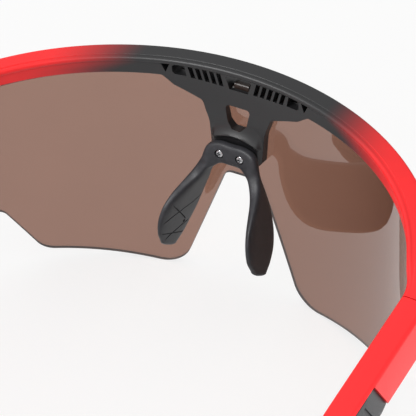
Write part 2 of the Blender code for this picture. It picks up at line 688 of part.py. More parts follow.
def build_nose(root):
    stations = smooth_stations(nose_stations(), 3)
    outline = section_outline(3.2)
    rings = [[in_section(station, a, b) for a, b in outline] for station in stations]
    middle = sum(rings[-1], Vector()) / len(outline)
    step = (middle - sum(rings[-2], Vector()) / len(outline)).normalized() * 0.7 * MM
    rings.append([middle + (p - middle) * 0.62 + step for p in rings[-1]])
    nose = add("nose_piece", loft_mesh("nose_piece", mirrored(rings)), dark_rubber(), root)
    core = add("nose_core", loft_mesh("nose_core", nose_core_rings(0.0)), steel(), root)
    combine(nose, add("core_channel", loft_mesh("core_channel", nose_core_rings(GAP))))
    combine(nose, saddle_opening())
    for side, word in ((1, "left"), (-1, "right")):
        hole = add(f"nose_hole_{side:+d}", along_y("nose_hole", side, NOSE_SHAFT_RADIUS + GAP,
                                                  SEAT_BACK - MM, SADDLE_REAR + THROUGH))
        combine(nose, hole)
        combine(core, hole)
        combine(nose, add(f"nose_counterbore_{side:+d}",
                          along_y("nose_counterbore", side, NOSE_HEAD_RADIUS + GAP,
                                  NOSE_HEAD_FRONT - GAP, SADDLE_REAR + THROUGH)))
        build_nose_screw(side, word, root)


def build_nose_screw(side, word, root):
    """A pan head with a cross recess on a plain shaft."""
    shaft = along_y("nose_screw", side, NOSE_SHAFT_RADIUS, NOSE_SCREW_TIP, NOSE_HEAD_FRONT + 0.2 * MM, 16)
    screw = add(f"nose_screw_{word}", shaft, steel(), root)
    combine(screw, add(f"nose_head_{side:+d}", along_y("nose_head", side, NOSE_HEAD_RADIUS,
                                                       NOSE_HEAD_FRONT, SADDLE_REAR, 24)), 'UNION')
    x, z = side * NOSE_SCREW_X, -NOSE_SCREW_Z
    for turn, (wide, tall) in enumerate(((0.62, 0.14), (0.14, 0.62))):
        outline = [(x + a * wide * MM, z + b * tall * MM) for a, b in ((-1, -1), (1, -1), (1, 1), (-1, 1))]
        combine(screw, prism(f"cross_{side:+d}_{turn}", outline, SADDLE_REAR - CROSS_DEPTH, SADDLE_REAR + MM))


# ---------------------------------------------------------------- hinges

BARREL_HEIGHT = 3 * KNUCKLE_HEIGHT + 2 * GAP


def arm_box(name, side, s, o, v):
    """A box in a temple's own directions, each given as (low, high)."""
    rings = [[arm_point(side, a, b, c) for b, c in ((o[0], v[0]), (o[1], v[0]), (o[1], v[1]), (o[0], v[1]))]
             for a in s]
    return loft_mesh(name, rings)


def hinge_pockets(side, end):
    """What the hinge takes out of the end piece (end -1) or the arm (end +1)."""
    top, low = BARREL_TOP - GAP, BARREL_TOP + BARREL_HEIGHT + GAP
    barrel = cylinder_mesh("barrel_pocket", arm_point(side, 0, 0, top - PIVOT_HEAD_HEIGHT - GAP),
                           arm_point(side, 0, 0, low), BARREL_RADIUS + GAP, 24)
    reach = LEAF_START + LEAF_LENGTH + GAP
    leaf = arm_box("leaf_pocket", side, (0.0, end * reach), (-6 * MM, LEAF_THICKNESS + LEAF_INSET + GAP), (top, low))
    screw = cylinder_mesh("leaf_screw_pocket", leaf_screw_place(side, end, 0.0),
                          leaf_screw_place(side, end, LEAF_SCREW_LENGTH + GAP), LEAF_SCREW_RADIUS + GAP)
    tag = f"{side:+d}_{end:+d}"
    return [add(f"barrel_pocket_{tag}", barrel), add(f"leaf_pocket_{tag}", leaf),
            add(f"leaf_screw_pocket_{tag}", screw)]


def leaf_screw_place(side, end, depth):
    s = end * (LEAF_START + LEAF_LENGTH * LEAF_SCREW_AT)
    return arm_point(side, s, LEAF_INSET + depth, BARREL_TOP + BARREL_HEIGHT / 2)


def build_leaf(name, side, end, knuckles, parent):
    """One leaf of the hinge: a plate, its knuckles round the pivot, and a link to each."""
    low, high = BARREL_TOP, BARREL_TOP + BARREL_HEIGHT
    skin = (LEAF_INSET, LEAF_INSET + LEAF_THICKNESS)
    plate = arm_box(name, side, (end * LEAF_START, end * (LEAF_START + LEAF_LENGTH)), skin, (low, high))
    leaf = add(name, plate, steel(), parent)
    for i in knuckles:
        top = BARREL_TOP + i * (KNUCKLE_HEIGHT + GAP)
        link = arm_box(f"link_{name}_{i}", side, (end * 1.0 * MM, end * (LEAF_START + 0.2 * MM)),
                       (skin[0] + 0.02 * MM, skin[1] - 0.02 * MM), (top, top + KNUCKLE_HEIGHT))
        knuckle = cylinder_mesh(f"knuckle_{name}_{i}", arm_point(side, 0, 0, top),
                                arm_point(side, 0, 0, top + KNUCKLE_HEIGHT), BARREL_RADIUS, 24)
        combine(leaf, add(f"link_{name}_{i}", link), 'UNION')
        combine(leaf, add(f"knuckle_{name}_{i}", knuckle), 'UNION')
    bore = cylinder_mesh(f"bore_{name}", arm_point(side, 0, 0, low - MM), arm_point(side, 0, 0, high + MM),
                         PIVOT_RADIUS + GAP)
    combine(leaf, add(f"bore_{name}", bore))
    hole = cylinder_mesh(f"hole_{name}", leaf_screw_place(side, end, -MM), leaf_screw_place(side, end, THROUGH),
                         LEAF_SCREW_RADIUS + GAP)
    combine(leaf, add(f"hole_{name}", hole))
    return leaf


def headed_screw(name, tip, under_head, shaft_radius, head_radius, head_height, slot_across, parent):
    """A slotted screw from its tip to its head."""
    axis = (under_head - tip).normalized()
    top = under_head + axis * head_height
    screw = add(name, cylinder_mesh(name, tip, under_head + axis * head_height * 0.3, shaft_radius, 16),
                steel(), parent)
    head = cylinder_mesh(f"head_{name}", under_head, top, head_radius, 20)
    combine(screw, add(f"head_{name}", head), 'UNION')
    wide, deep = 0.13 * MM, head_height * 0.4
    other = axis.cross(slot_across).normalized()
    reach = slot_across * head_radius * 1.3
    rings = [[top + reach * t + other * a + axis * b for a, b in
              ((-wide, -deep), (wide, -deep), (wide, MM), (-wide, MM))] for t in (-1, 1)]
    combine(screw, add(f"slot_{name}", loft_mesh(f"slot_{name}", rings)))
    return screw


def build_hinge(side, word, root, axis_empty):
    """The hinge's two leaves, its pivot screw and the screw of each leaf."""
    build_leaf(f"hinge_front_leaf_{word}", side, -1, (0, 2), root)
    build_leaf(f"hinge_temple_leaf_{word}", side, 1, (1,), axis_empty)
    across = arm_point(side, 0, 1, 0) - arm_point(side, 0, 0, 0)
    back = arm_point(side, 1, 0, 0) - arm_point(side, 0, 0, 0)
    low = BARREL_TOP + BARREL_HEIGHT - 0.2 * MM
    headed_screw(f"hinge_screw_{word}", arm_point(side, 0, 0, low), arm_point(side, 0, 0, BARREL_TOP - GAP),
                 PIVOT_RADIUS, PIVOT_HEAD_RADIUS, PIVOT_HEAD_HEIGHT - GAP, across, root)
    for end, name, parent in ((-1, "front", root), (1, "temple", axis_empty)):
        headed_screw(f"leaf_screw_{name}_{word}", leaf_screw_place(side, end, LEAF_SCREW_LENGTH),
                     leaf_screw_place(side, end, -GAP), LEAF_SCREW_RADIUS, LEAF_SCREW_HEAD, 0.5 * MM, back, parent)


# ---------------------------------------------------------------- temples

def ear_bend(s):
    """How far the arm has dropped and turned in at s, as parts of the whole."""
    part = max(0.0, (s - EAR_START) / (ARM_LENGTH - EAR_START))
    return part ** EAR_CURVE


TIP_SHAPE = {"drop": 20.0 * MM}


def settle_tips():
    """Set the tips' drop so that they reach the foot's depth below the lens's lowest point."""
    target = lowest_lens_point() - FOOT_DEPTH
    for _ in range(12):
        low = min(point.z for ring in tip_rings(1) for point in ring)
        TIP_SHAPE["drop"] += (low - target) / ARM_UP.z


def arm_taper(s):
    """How far the arm has thinned at s, from 0 at TAPER_START to 1 where the ear bend starts."""
    return smooth((s - TAPER_START) / (EAR_START - TAPER_START))


def arm_centre(side, s):
    bend = ear_bend(s)
    inward = (ARM_THICKNESS - ARM_THINNING * arm_taper(s)) / 2 - TIP_INWARD * bend
    return arm_point(side, s, inward, ARM_HEIGHT / 2 + TIP_SHAPE["drop"] * bend)


def arm_section(side, s, thickness, height, corner, count=4):
    """A rounded rectangle across the arm at s, turned with the arm's bend."""
    step = 0.5 * MM
    centre = arm_centre(side, s)
    ahead = (arm_centre(side, s + step) - arm_centre(side, s - step)).normalized()
    if s < EAR_START - MM:
        ahead = (arm_point(side, 1, 0, 0) - arm_point(side, 0, 0, 0)).normalized()
    across = arm_point(side, 0, 1, 0) - arm_point(side, 0, 0, 0)
    up = ahead.cross(across).normalized() * -side
    if up.z < 0:
        up = -up
    out = (across - ahead * across.dot(ahead)).normalized()
    ring = []
    for quarter in range(4):
        angle = pi / 2 * quarter
        cx = (thickness / 2 - corner) * (1 if quarter in (0, 3) else -1)
        cy = (height / 2 - corner) * (1 if quarter in (0, 1) else -1)
        for i in range(count):
            turn = angle + pi / 2 * i / (count - 1)
            ring.append(centre + out * (cx + corner * cos(turn)) + up * (cy + corner * sin(turn)))
    return ring


def arm_size(s):
    """Thickness and height of the arm at s."""
    return ARM_THICKNESS - ARM_THINNING * arm_taper(s), ARM_HEIGHT - ARM_LOWERING * arm_taper(s)


def inlay_region(side, grow):
    """The slice of the arm's outer face that the inlay fills, grown by a clearance."""
    rear = TIP_START - 0.2 * MM + grow
    across = arm_point(side, 0, 1, 0) - arm_point(side, 0, 0, 0)
    down = arm_point(side, 0, 0, 1) - arm_point(side, 0, 0, 0)
    rings = []
    for part in [0.0] + list(np.linspace(0.12, 1.0, 9)):
        ring = []
        for o, v in ((0, 0), (1, 0), (1, 1), (0, 1)):
            depth = (0.7 * MM - grow, ARM_HEIGHT + 4 * MM)[v]
            front = INLAY_START - grow - INLAY_SLANT * depth
            s = front + (rear - front) * part
            surface = arm_size(s)[0] / 2
            offset = surface - INLAY_DEPTH - grow if o == 0 else surface + THROUGH
            ring.append(arm_centre(side, s) + across * offset + down * (depth - ARM_HEIGHT / 2))
        rings.append(ring)
    return loft_mesh(f"inlay_region_{side:+d}", rings)


def arm_rings(side, first, last, count):
    rings = []
    for i in range(count):
        s = first + (last - first) * i / (count - 1)
        thickness, height = arm_size(s)
        rings.append(arm_section(side, s, thickness, height, ARM_ROUNDING))
    return rings


def build_temple(side, word, axis_empty):
    start = GAP / 2
    rings = arm_rings(side, start, TIP_START - GAP, 16)
    tongue_end = TIP_START + TONGUE_LENGTH
    for s in np.linspace(TIP_START - GAP, tongue_end, 8):
        rings.append(arm_section(side, float(s), TONGUE_THICKNESS, TONGUE_HEIGHT, 0.8 * MM))
    arm = add(f"temple_arm_{word}", loft_mesh(f"temple_arm_{word}", rings), red_nylon(), axis_empty)
    combine(arm, add(f"inlay_pocket_{side:+d}", inlay_region(side, GAP)))
    for tool in hinge_pockets(side, 1):
        combine(arm, tool)
    build_inlay(side, word, axis_empty)
    build_tip(side, word, axis_empty)


def build_inlay(side, word, axis_empty):
    body = arm_rings(side, INLAY_START - 14 * MM, TIP_START - GAP, 14)
    inlay = add(f"temple_inlay_{word}", loft_mesh(f"temple_inlay_{word}", body), dark_rubber(), axis_empty)
    combine(inlay, add(f"inlay_shape_{side:+d}", inlay_region(side, 0.0)), 'INTERSECT')


def tip_rings(side):
    """The sleeve's outside, from its mouth to its rounded end."""
    stops = [float(s) for s in np.linspace(TIP_START, ARM_LENGTH - TIP_END_RUN, 12)]
    stops += [ARM_LENGTH - TIP_END_RUN * part for part in (0.5, 0.18, 0.0)]
    rings = []
    for s in stops:
        swell = smooth((s - TIP_START) / TIP_SWELL_RUN)
        thin, low = arm_size(s)
        end = max(0.0, 1 - (ARM_LENGTH - s) / TIP_END_RUN)
        shrink = (1 - end ** 2 * 0.75) ** 0.5
        thickness = (thin + (TIP_THICKNESS - thin) * swell) * shrink
        height = (low + (TIP_HEIGHT - low) * swell) * shrink
        rings.append(arm_section(side, s, thickness, height, min(thickness, height) * TIP_ROUNDING))
    return rings


def build_tip(side, word, axis_empty):
    """A rubber sleeve over the arm's tongue, closed at the rear, with a flat foot."""
    cavity = []
    for s in np.linspace(TIP_START + TONGUE_LENGTH + GAP, TIP_START, 8):
        cavity.append(arm_section(side, float(s), TONGUE_THICKNESS + 2 * GAP, TONGUE_HEIGHT + 2 * GAP, MM))
    name = f"temple_tip_{word}"
    tip = add(name, loft_mesh(name, list(reversed(tip_rings(side))) + list(reversed(cavity))),
              dark_rubber(), axis_empty)
    floor = lowest_lens_point()
    at = arm_centre(side, ARM_LENGTH)
    outline = [(at.x + a * 15 * MM, floor + b) for a, b in ((-1, -9 * MM), (1, -9 * MM), (1, 0), (-1, 0))]
    combine(tip, prism(f"foot_{side:+d}", outline, at.y - 30 * MM, at.y + 15 * MM))


# ---------------------------------------------------------------- assembly

def empty(name, place, parent=None):
    made = bpy.data.objects.new(name, None)
    made.location = place
    collection("sport_sunglasses").objects.link(made)
    if parent:
        made.parent = parent
    return made


def stand_on_origin(root):
    """Move the whole so that the middle of its base is the origin."""
    bpy.context.view_layer.update()
    graph = bpy.context.evaluated_depsgraph_get()
    corners = []
    for thing in COLLECTIONS["sport_sunglasses"].objects:
        if thing.type == 'MESH':
            seen = thing.evaluated_get(graph)
            corners += [seen.matrix_world @ vertex.co for vertex in seen.data.vertices]
    places = np.array(corners)
    low, high = places.min(axis=0), places.max(axis=0)
    root.location = (-(low[0] + high[0]) / 2, -(low[1] + high[1]) / 2, -low[2])


def main():
    for thing in list(bpy.data.objects):
        bpy.data.objects.remove(thing)
    settle_tips()
    root = empty(ROOT_NAME, (0.0, 0.0, 0.0))
    build_brow(root)
    build_lens(root)
    build_nose(root)
    for side, word in ((1, "left"), (-1, "right")):
        axis_empty = empty(f"temple_axis_{word}", arm_point(side, 0, 0, BARREL_TOP + BARREL_HEIGHT / 2), root)
        build_temple(side, word, axis_empty)
        build_hinge(side, word, root, axis_empty)
    stand_on_origin(root)


main()
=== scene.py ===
"""Looks of the wraparound sport sunglasses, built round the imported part.

The front and the temples are laid out as in the part: a place on the front is (girth, off, w)
and a place on a temple is (s, o, v). Everything is in metres, in the row frame: +Z up, +X
towards the wearer's left, the lens faces -Y and the temples run towards +Y. These are not the
part's: the height of the brow's front wall and where it changes, the pads' inner rear corners
and the thickness of the ear tips. The arms' tongues and the tips' bores, which nothing shows,
are left out.
"""
import json
from math import cos, pi, radians, sin, tan

import bmesh
import bpy
import numpy as np
from mathutils import Matrix, Vector

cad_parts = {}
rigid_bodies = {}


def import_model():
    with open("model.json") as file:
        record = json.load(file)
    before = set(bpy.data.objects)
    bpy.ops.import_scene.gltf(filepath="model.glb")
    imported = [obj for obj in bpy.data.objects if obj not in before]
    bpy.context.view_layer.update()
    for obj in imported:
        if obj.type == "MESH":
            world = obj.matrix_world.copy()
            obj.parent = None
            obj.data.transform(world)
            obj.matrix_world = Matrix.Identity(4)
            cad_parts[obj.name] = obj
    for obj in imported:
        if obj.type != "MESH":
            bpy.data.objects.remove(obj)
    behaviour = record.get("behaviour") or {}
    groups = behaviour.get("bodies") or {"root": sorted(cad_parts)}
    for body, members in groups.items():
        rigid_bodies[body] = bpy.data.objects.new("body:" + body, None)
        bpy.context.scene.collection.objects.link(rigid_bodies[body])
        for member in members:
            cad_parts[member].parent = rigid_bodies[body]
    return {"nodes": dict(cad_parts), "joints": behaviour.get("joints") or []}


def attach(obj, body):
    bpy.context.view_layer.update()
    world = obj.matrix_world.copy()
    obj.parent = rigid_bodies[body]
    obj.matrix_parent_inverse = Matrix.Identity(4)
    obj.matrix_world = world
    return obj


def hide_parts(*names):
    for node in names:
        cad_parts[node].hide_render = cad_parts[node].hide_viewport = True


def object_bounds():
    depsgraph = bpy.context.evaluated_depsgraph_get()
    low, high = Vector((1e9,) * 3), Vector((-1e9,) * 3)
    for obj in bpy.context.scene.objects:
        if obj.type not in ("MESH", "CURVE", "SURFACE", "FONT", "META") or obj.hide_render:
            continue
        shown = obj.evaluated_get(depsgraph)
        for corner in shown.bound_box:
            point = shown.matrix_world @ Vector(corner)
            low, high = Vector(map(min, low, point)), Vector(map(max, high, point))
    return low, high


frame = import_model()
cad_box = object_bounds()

MM = 0.001
GAP = 0.3 * MM

# The curved sheet of the front
PLAN_HALF_WIDTH = 70.15 * MM
PLAN_DEPTH = 63.0 * MM
LEAN = radians(2.8)
SEAM_ANGLE = 1.362

# Brow
LEDGE_OUTER = 3.4 * MM
LEDGE_INNER = 1.1 * MM
BEAD_RADIUS = 0.75 * MM
BEAD_OFF = 1.95 * MM
BEAD_DROP = 0.8 * MM
WALL_OFF = 2.35 * MM
WALL_HEIGHT = 4.95 * MM
FRONT_HEIGHT = 6.2 * MM          # 7.0 mm in the part
CENTRE_FRONT_HEIGHT = 8.6 * MM
FRONT_STEP_START = 13.0 * MM     # past the vents in the part
FRONT_STEP_RUN = 8.0 * MM        # 10.0 mm in the part
BROW_DROP = 3.2 * MM
END_START = 71.0 * MM
END_RING = 80.0 * MM
END_EXTRA_DROP = 2.6 * MM
END_FULL_DROP = END_RING + 12 * MM
BRACKET_HALF_WIDTH = 7.3 * MM
BRACKET_DEPTH = 24.8 * MM
BRACKET_BACK = 3.3 * MM
SEAT_BACK = 3.6 * MM
SEAT_HALF_WIDTH = 6.3 * MM
SEAT_EDGE_RUN = 1.5 * MM
LIP_DEPTH = 17.3 * MM
LIP_RUN = 3.8 * MM
LIP_FALL = 0.9 * MM
LIP_HEIGHT = 0.55 * MM
ARCH_DROP = 2.0 * MM
WINDOW_TOP = 9.9 * MM
WINDOW_HEIGHT = 6.3 * MM
WINDOW_TOP_HALF = 3.5 * MM
WINDOW_LOW_HALF = 2.5 * MM
VENT_TOP = 1.75 * MM
VENT_FLOOR = 5.5 * MM
VENT_RISE = 1.1 * MM
VENT_HALF_SPAN = 20.6 * MM
SLOT_COUNT = 5
SLOT_PITCH = 1.85 * MM
SLOT_WIDTH = 1.15 * MM
SLOT_FIRST = 5.55 * MM
SLOT_LEAN = 0.9 * MM

# Lens
LENS_THICKNESS = 1.8 * MM
LENS_SKIN = 2.5 * MM
LENS_LOW = 66.4 * MM
LENS_HALF_GIRTH = 79.0 * MM
NOTCH_TOP = 32.1 * MM
NOTCH_HALF_TOP = 5.0 * MM
NOTCH_HALF_LOW = 18.0 * MM
LENS_SLOPE = 0.147
LENS_CORNER = 55.3 * MM
TAB_HALF_WIDTH = 2.0 * MM
TAB_HEIGHT = 1.3 * MM
STEP_RUN = 0.05 * MM
LENS_CHAMFER = 0.2 * MM
LENS_ROWS = 14

# Nose piece
SADDLE_THICKNESS = 2.8 * MM
SADDLE_TOP = 19.2 * MM
SADDLE_HEIGHT = 5.6 * MM
NOSE_SCREW_X = 2.86 * MM
NOSE_SCREW_Z = 22.0 * MM
NOSE_HEAD_RADIUS = 1.05 * MM
NOSE_SHAFT_RADIUS = 0.55 * MM
PAD_STEPS = 10
PAD_LINES = (((6.9, 0.85), (7.9, -0.5)), ((8.3, 0.85), (6.0, -0.85)),    # ends as (station, along)
             ((9.1, 0.85), (8.9, -0.85)), ((9.8, 0.7), (8.0, -0.8)))
LINE_WIDTH = 0.3 * MM
LINE_DEPTH = 0.32 * MM
PAD_HOLE = (8.1, -0.5)
PAD_HOLE_RADIUS = 0.5 * MM
NOSE_HEAD_HEIGHT = 0.7 * MM
NOSE_SCREW_BITE = 2.6 * MM
SADDLE_REAR = SEAT_BACK + GAP + SADDLE_THICKNESS
NOSE_HEAD_FRONT = SADDLE_REAR - NOSE_HEAD_HEIGHT

# Temples
ARM_THICKNESS = 6.2 * MM
ARM_HEIGHT = 12.4 * MM
ARM_SLOPE = radians(11.25)
ARM_TOE_IN = radians(1.5)
ARM_LENGTH = 124.0 * MM
ARM_TOP_DROP = 9.9 * MM
ARM_IN = 2.5 * MM
ARM_ROUNDING = 1.0 * MM
TAPER_START = 30.0 * MM
ARM_THINNING = 1.0 * MM
ARM_LOWERING = 3.4 * MM
EAR_LENGTH = 52.0 * MM
EAR_START = ARM_LENGTH - EAR_LENGTH
EAR_CURVE = 1.5
TIP_LENGTH = 42.0 * MM
TIP_START = ARM_LENGTH - TIP_LENGTH
# The part's tips are 6.4 mm thick, and at 95 degrees the left one goes 0.025 mm into the lens. These
# miss it by 0.002 mm, which is no clearance: the fault is the part's and stays.
TIP_THICKNESS = 5.9 * MM
TIP_HEIGHT = 9.6 * MM
TIP_INWARD = 5.0 * MM
FOOT_DEPTH = 0.5 * MM
INLAY_START = 25.0 * MM
INLAY_SLANT = 0.477
INLAY_DEPTH = 1.8 * MM
FACET_LENGTH = 4.0 * MM
FACET_DEPTH = 0.7 * MM
RIB_COUNT = 6
RIB_PITCH = 2.3 * MM
RIB_WIDTH = 1.1 * MM
RIB_DEPTH = 0.45 * MM

# Hinge
BARREL_RADIUS = 1.6 * MM
BARREL_TOP = 4.4 * MM
BARREL_HEIGHT = 3 * 1.8 * MM + 2 * GAP
PIVOT_HEAD_HEIGHT = 0.8 * MM
LEAF_THICKNESS = 1.0 * MM
LEAF_LENGTH = 5.6 * MM
LEAF_START = 2.0 * MM

# View: where the camera stands, measured from the middle of the front's brow
CAMERA_TURN = radians(29.591)
CAMERA_RISE = radians(35.532)
CAMERA_DISTANCE = 0.475607
CAMERA_TARGET = Vector((-0.001622, 0.020, -0.028435))
CAMERA_LENS = 169.44            # mm, on a 36 mm sensor

# Colours, as linear red, green and blue
RED = (0.76, 0.003, 0.005)
CHARCOAL = (0.009, 0.009, 0.010)
RUBBER = (0.013, 0.013, 0.015)
INLAY = (0.007, 0.007, 0.009)
BROWN = (0.29, 0.150, 0.106)
BROWN_EDGE_ON = (0.14, 0.055, 0.034)
# painted shade: an opaque dark brown for the dark line at the lens's cut edge and for the lens tab in the
# centre vent
EDGE_SHADE = (0.035, 0.022, 0.018)
STEEL_DARK = (0.33, 0.33, 0.34)
STEEL_LIGHT = (0.5, 0.5, 0.51)
FADE_START = 25 * MM            # from the middle, where the brow's red begins
FADE_END = 49 * MM
FADE_SHIFT = 5 * MM             # further out on the inner wall than on the ledge
FADE_LEDGE = 2.4 * MM           # the ledge and the wall, down from the brow's top
FADE_WALL = 5.0 * MM
TABLE = (0.30, 0.30, 0.298)
TABLE_GLOW = 0.70               # the table gives off light of its own, so shadows stay faint
WORLD_TOP = 1.2                 # towards BRIGHT_SIDE: overhead, behind the wearer and to their left
WORLD_SIDE = 0.3
BRIGHT_SIDE = (0.42, 0.42, 0.80)


# ---------------------------------------------------------------- layout

ANGLES = np.linspace(0.0, pi / 2, 1801)
SPEEDS = np.hypot(PLAN_HALF_WIDTH * np.cos(ANGLES), PLAN_DEPTH * np.sin(ANGLES))
GIRTHS = np.concatenate([[0.0], np.cumsum((SPEEDS[1:] + SPEEDS[:-1]) / 2) * (ANGLES[1] - ANGLES[0])])
ARM_DIRECTION = Vector((-sin(ARM_TOE_IN) * cos(ARM_SLOPE), cos(ARM_TOE_IN) * cos(ARM_SLOPE), -sin(ARM_SLOPE)))
ARM_OUT = Vector((cos(ARM_TOE_IN), sin(ARM_TOE_IN), 0.0))
ARM_UP = ARM_OUT.cross(ARM_DIRECTION)
ARM_ORIGIN = Vector((PLAN_HALF_WIDTH * sin(SEAM_ANGLE) - ARM_IN, PLAN_DEPTH * (1 - cos(SEAM_ANGLE)),
                     -ARM_TOP_DROP))


def front_point(girth, off, w):
    """Place a point of the front: girth along the sheet, off out of it, w up it."""
    angle = float(np.interp(abs(girth), GIRTHS, ANGLES))
    x, y = PLAN_HALF_WIDTH * sin(angle), PLAN_DEPTH * (1 - cos(angle))
    normal = Vector((PLAN_DEPTH * sin(angle), -PLAN_HALF_WIDTH * cos(angle))).normalized()
    x += normal.x * off
    y += normal.y * off
    if girth < 0:
        x = -x
    return Vector((x, y * cos(LEAN) + w * sin(LEAN), w * cos(LEAN) - y * sin(LEAN)))


def arm_point(side, s, o, v):
    """Place a point of a temple: side is +1 for the left one and -1 for the right one."""
    point = ARM_ORIGIN + ARM_DIRECTION * s + ARM_OUT * o - ARM_UP * v
    return Vector((point.x * side, point.y, point.z))


def frame_offset():
    """From the brow's own origin to the row frame, by the left hinge."""
    joint = next(j for j in frame["joints"] if j["name"] == "temple_left_fold")
    return Vector(joint["pos_m"]) - arm_point(1, 0, 0, BARREL_TOP + BARREL_HEIGHT / 2)


OFFSET = frame_offset()


def smooth(value):
    """Ease from 0 to 1 as value goes from 0 to 1."""
    value = min(max(value, 0.0), 1.0)
    return value * value * (3 - 2 * value)


def arc(x, y, radius, start, end, count):
    """Points of an arc round (x, y), its angles in degrees."""
    turns = [radians(start + (end - start) * i / (count - 1)) for i in range(count)]
    return [(x + radius * cos(turn), y + radius * sin(turn)) for turn in turns]


def line(start, end, count):
    """Points evenly spaced from after start up to end."""
    return [(start[0] + (end[0] - start[0]) * i / count, start[1] + (end[1] - start[1]) * i / count)
            for i in range(1, count + 1)]


def round_corners(corners, steps=5):
    """Turn corners (x, y, radius) of an open outline into points, with an arc at each corner."""
    points = [Vector(corners[0][:2])]
    for before, corner, after in zip(corners, corners[1:], corners[2:]):
        at = Vector(corner[:2])
        back = (Vector(before[:2]) - at).normalized()
        ahead = (Vector(after[:2]) - at).normalized()
        half = back.angle(ahead) / 2
        centre = at + (back + ahead).normalized() * (corner[2] / sin(half))
        start = at + back * (corner[2] / tan(half)) - centre
        sweep = start.angle_signed(at + ahead * (corner[2] / tan(half)) - centre)
        for step in range(steps + 1):
            points.append(centre + Matrix.Rotation(-sweep * step / steps, 2) @ start)
    points.append(Vector(corners[-1][:2]))
    return points


def spaced(points, step):
    """Add points to an outline so that none are further apart than step."""
    result = [points[0]]
    for start, end in zip(points, points[1:]):
        count = max(1, round((end - start).length / step + 0.3))
        result += [start.lerp(end, i / count) for i in range(1, count + 1)]
    return result


def catmull(points, steps):
    """Pass a smooth curve through stations, with steps pieces between two."""
    ends = [points[0] * 2 - points[1]] + list(points) + [points[-1] * 2 - points[-2]]
    result = []
    for k in range(1, len(ends) - 2):
        p0, p1, p2, p3 = ends[k - 1:k + 3]
        for i in range(steps):
            t = i / steps
            result.append(p1 + (p2 - p0) * (t / 2) + (p0 * 2 - p1 * 5 + p2 * 4 - p3) * (t * t / 2)
                          + (p1 * 3 - p0 - p2 * 3 + p3) * (t ** 3 / 2))
    return result + [points[-1]]


# ---------------------------------------------------------------- mesh tools

def mesh_object(name, bm):
    bmesh.ops.recalc_face_normals(bm, faces=bm.faces)
    mesh = bpy.data.meshes.new(name)
    bm.to_mesh(mesh)
    bm.free()
    thing = bpy.data.objects.new(name, mesh)
    bpy.context.scene.collection.objects.link(thing)
    return thing


def loft(name, rings):
    """Skin a row of rings with equally many points, close both ends and put it in the row frame."""
    bm = bmesh.new()
    rows = [[bm.verts.new(Vector(point) + OFFSET) for point in ring] for ring in rings]
    for row, after in zip(rows, rows[1:]):
        for i in range(len(row)):
            j = (i + 1) % len(row)
            bm.faces.new((row[i], row[j], after[j], after[i]))
    bm.faces.new(rows[0])
    bm.faces.new(rows[-1])
    return mesh_object(name, bm)


def bar(name, start, end, radius, end_radius=None, sides=40):
    """A round bar from start to end."""
    across = (end - start).orthogonal().normalized() * radius
    other = (end - start).normalized().cross(across)
    share = 1.0 if end_radius is None else end_radius / radius
    rings = []
    for at, size in ((start, 1.0), (end, share)):
        rings.append([at + (across * cos(2 * pi * i / sides) + other * sin(2 * pi * i / sides)) * size
                      for i in range(sides)])
    return loft(name, rings)


def prism(name, outline, front, back):
    """An outline in X and Z, run along Y from front to back."""
    return loft(name, [[Vector((x, y, z)) for x, z in outline] for y in (front, back)])


def apply_modifiers(thing):
    graph = bpy.context.evaluated_depsgraph_get()
    made = bpy.data.meshes.new_from_object(thing.evaluated_get(graph))
    thing.modifiers.clear()
    thing.data = made


def carve(thing, tools, operation="DIFFERENCE"):
    """Cut the tools out of the thing, or join them on, and remove the tools."""
    for tool in tools:
        modifier = thing.modifiers.new(tool.name, "BOOLEAN")
        modifier.operation = operation
        modifier.solver = "EXACT"
        modifier.object = tool
    bpy.context.view_layer.update()
    apply_modifiers(thing)
    for tool in tools:
        bpy.data.objects.remove(tool)
    return thing


def finish_piece(thing, body, node, finish, crease=30):
    """Shade a piece, give it its material, hang it on its body and hide the CAD node that it replaces."""
    thing.data.materials.clear()
    thing.data.materials.append(finish)
    thing.data.shade_smooth()
    thing.data.set_sharp_from_angle(angle=radians(crease))
    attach(thing, body)
    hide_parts(node)
    return thing


# ---------------------------------------------------------------- materials

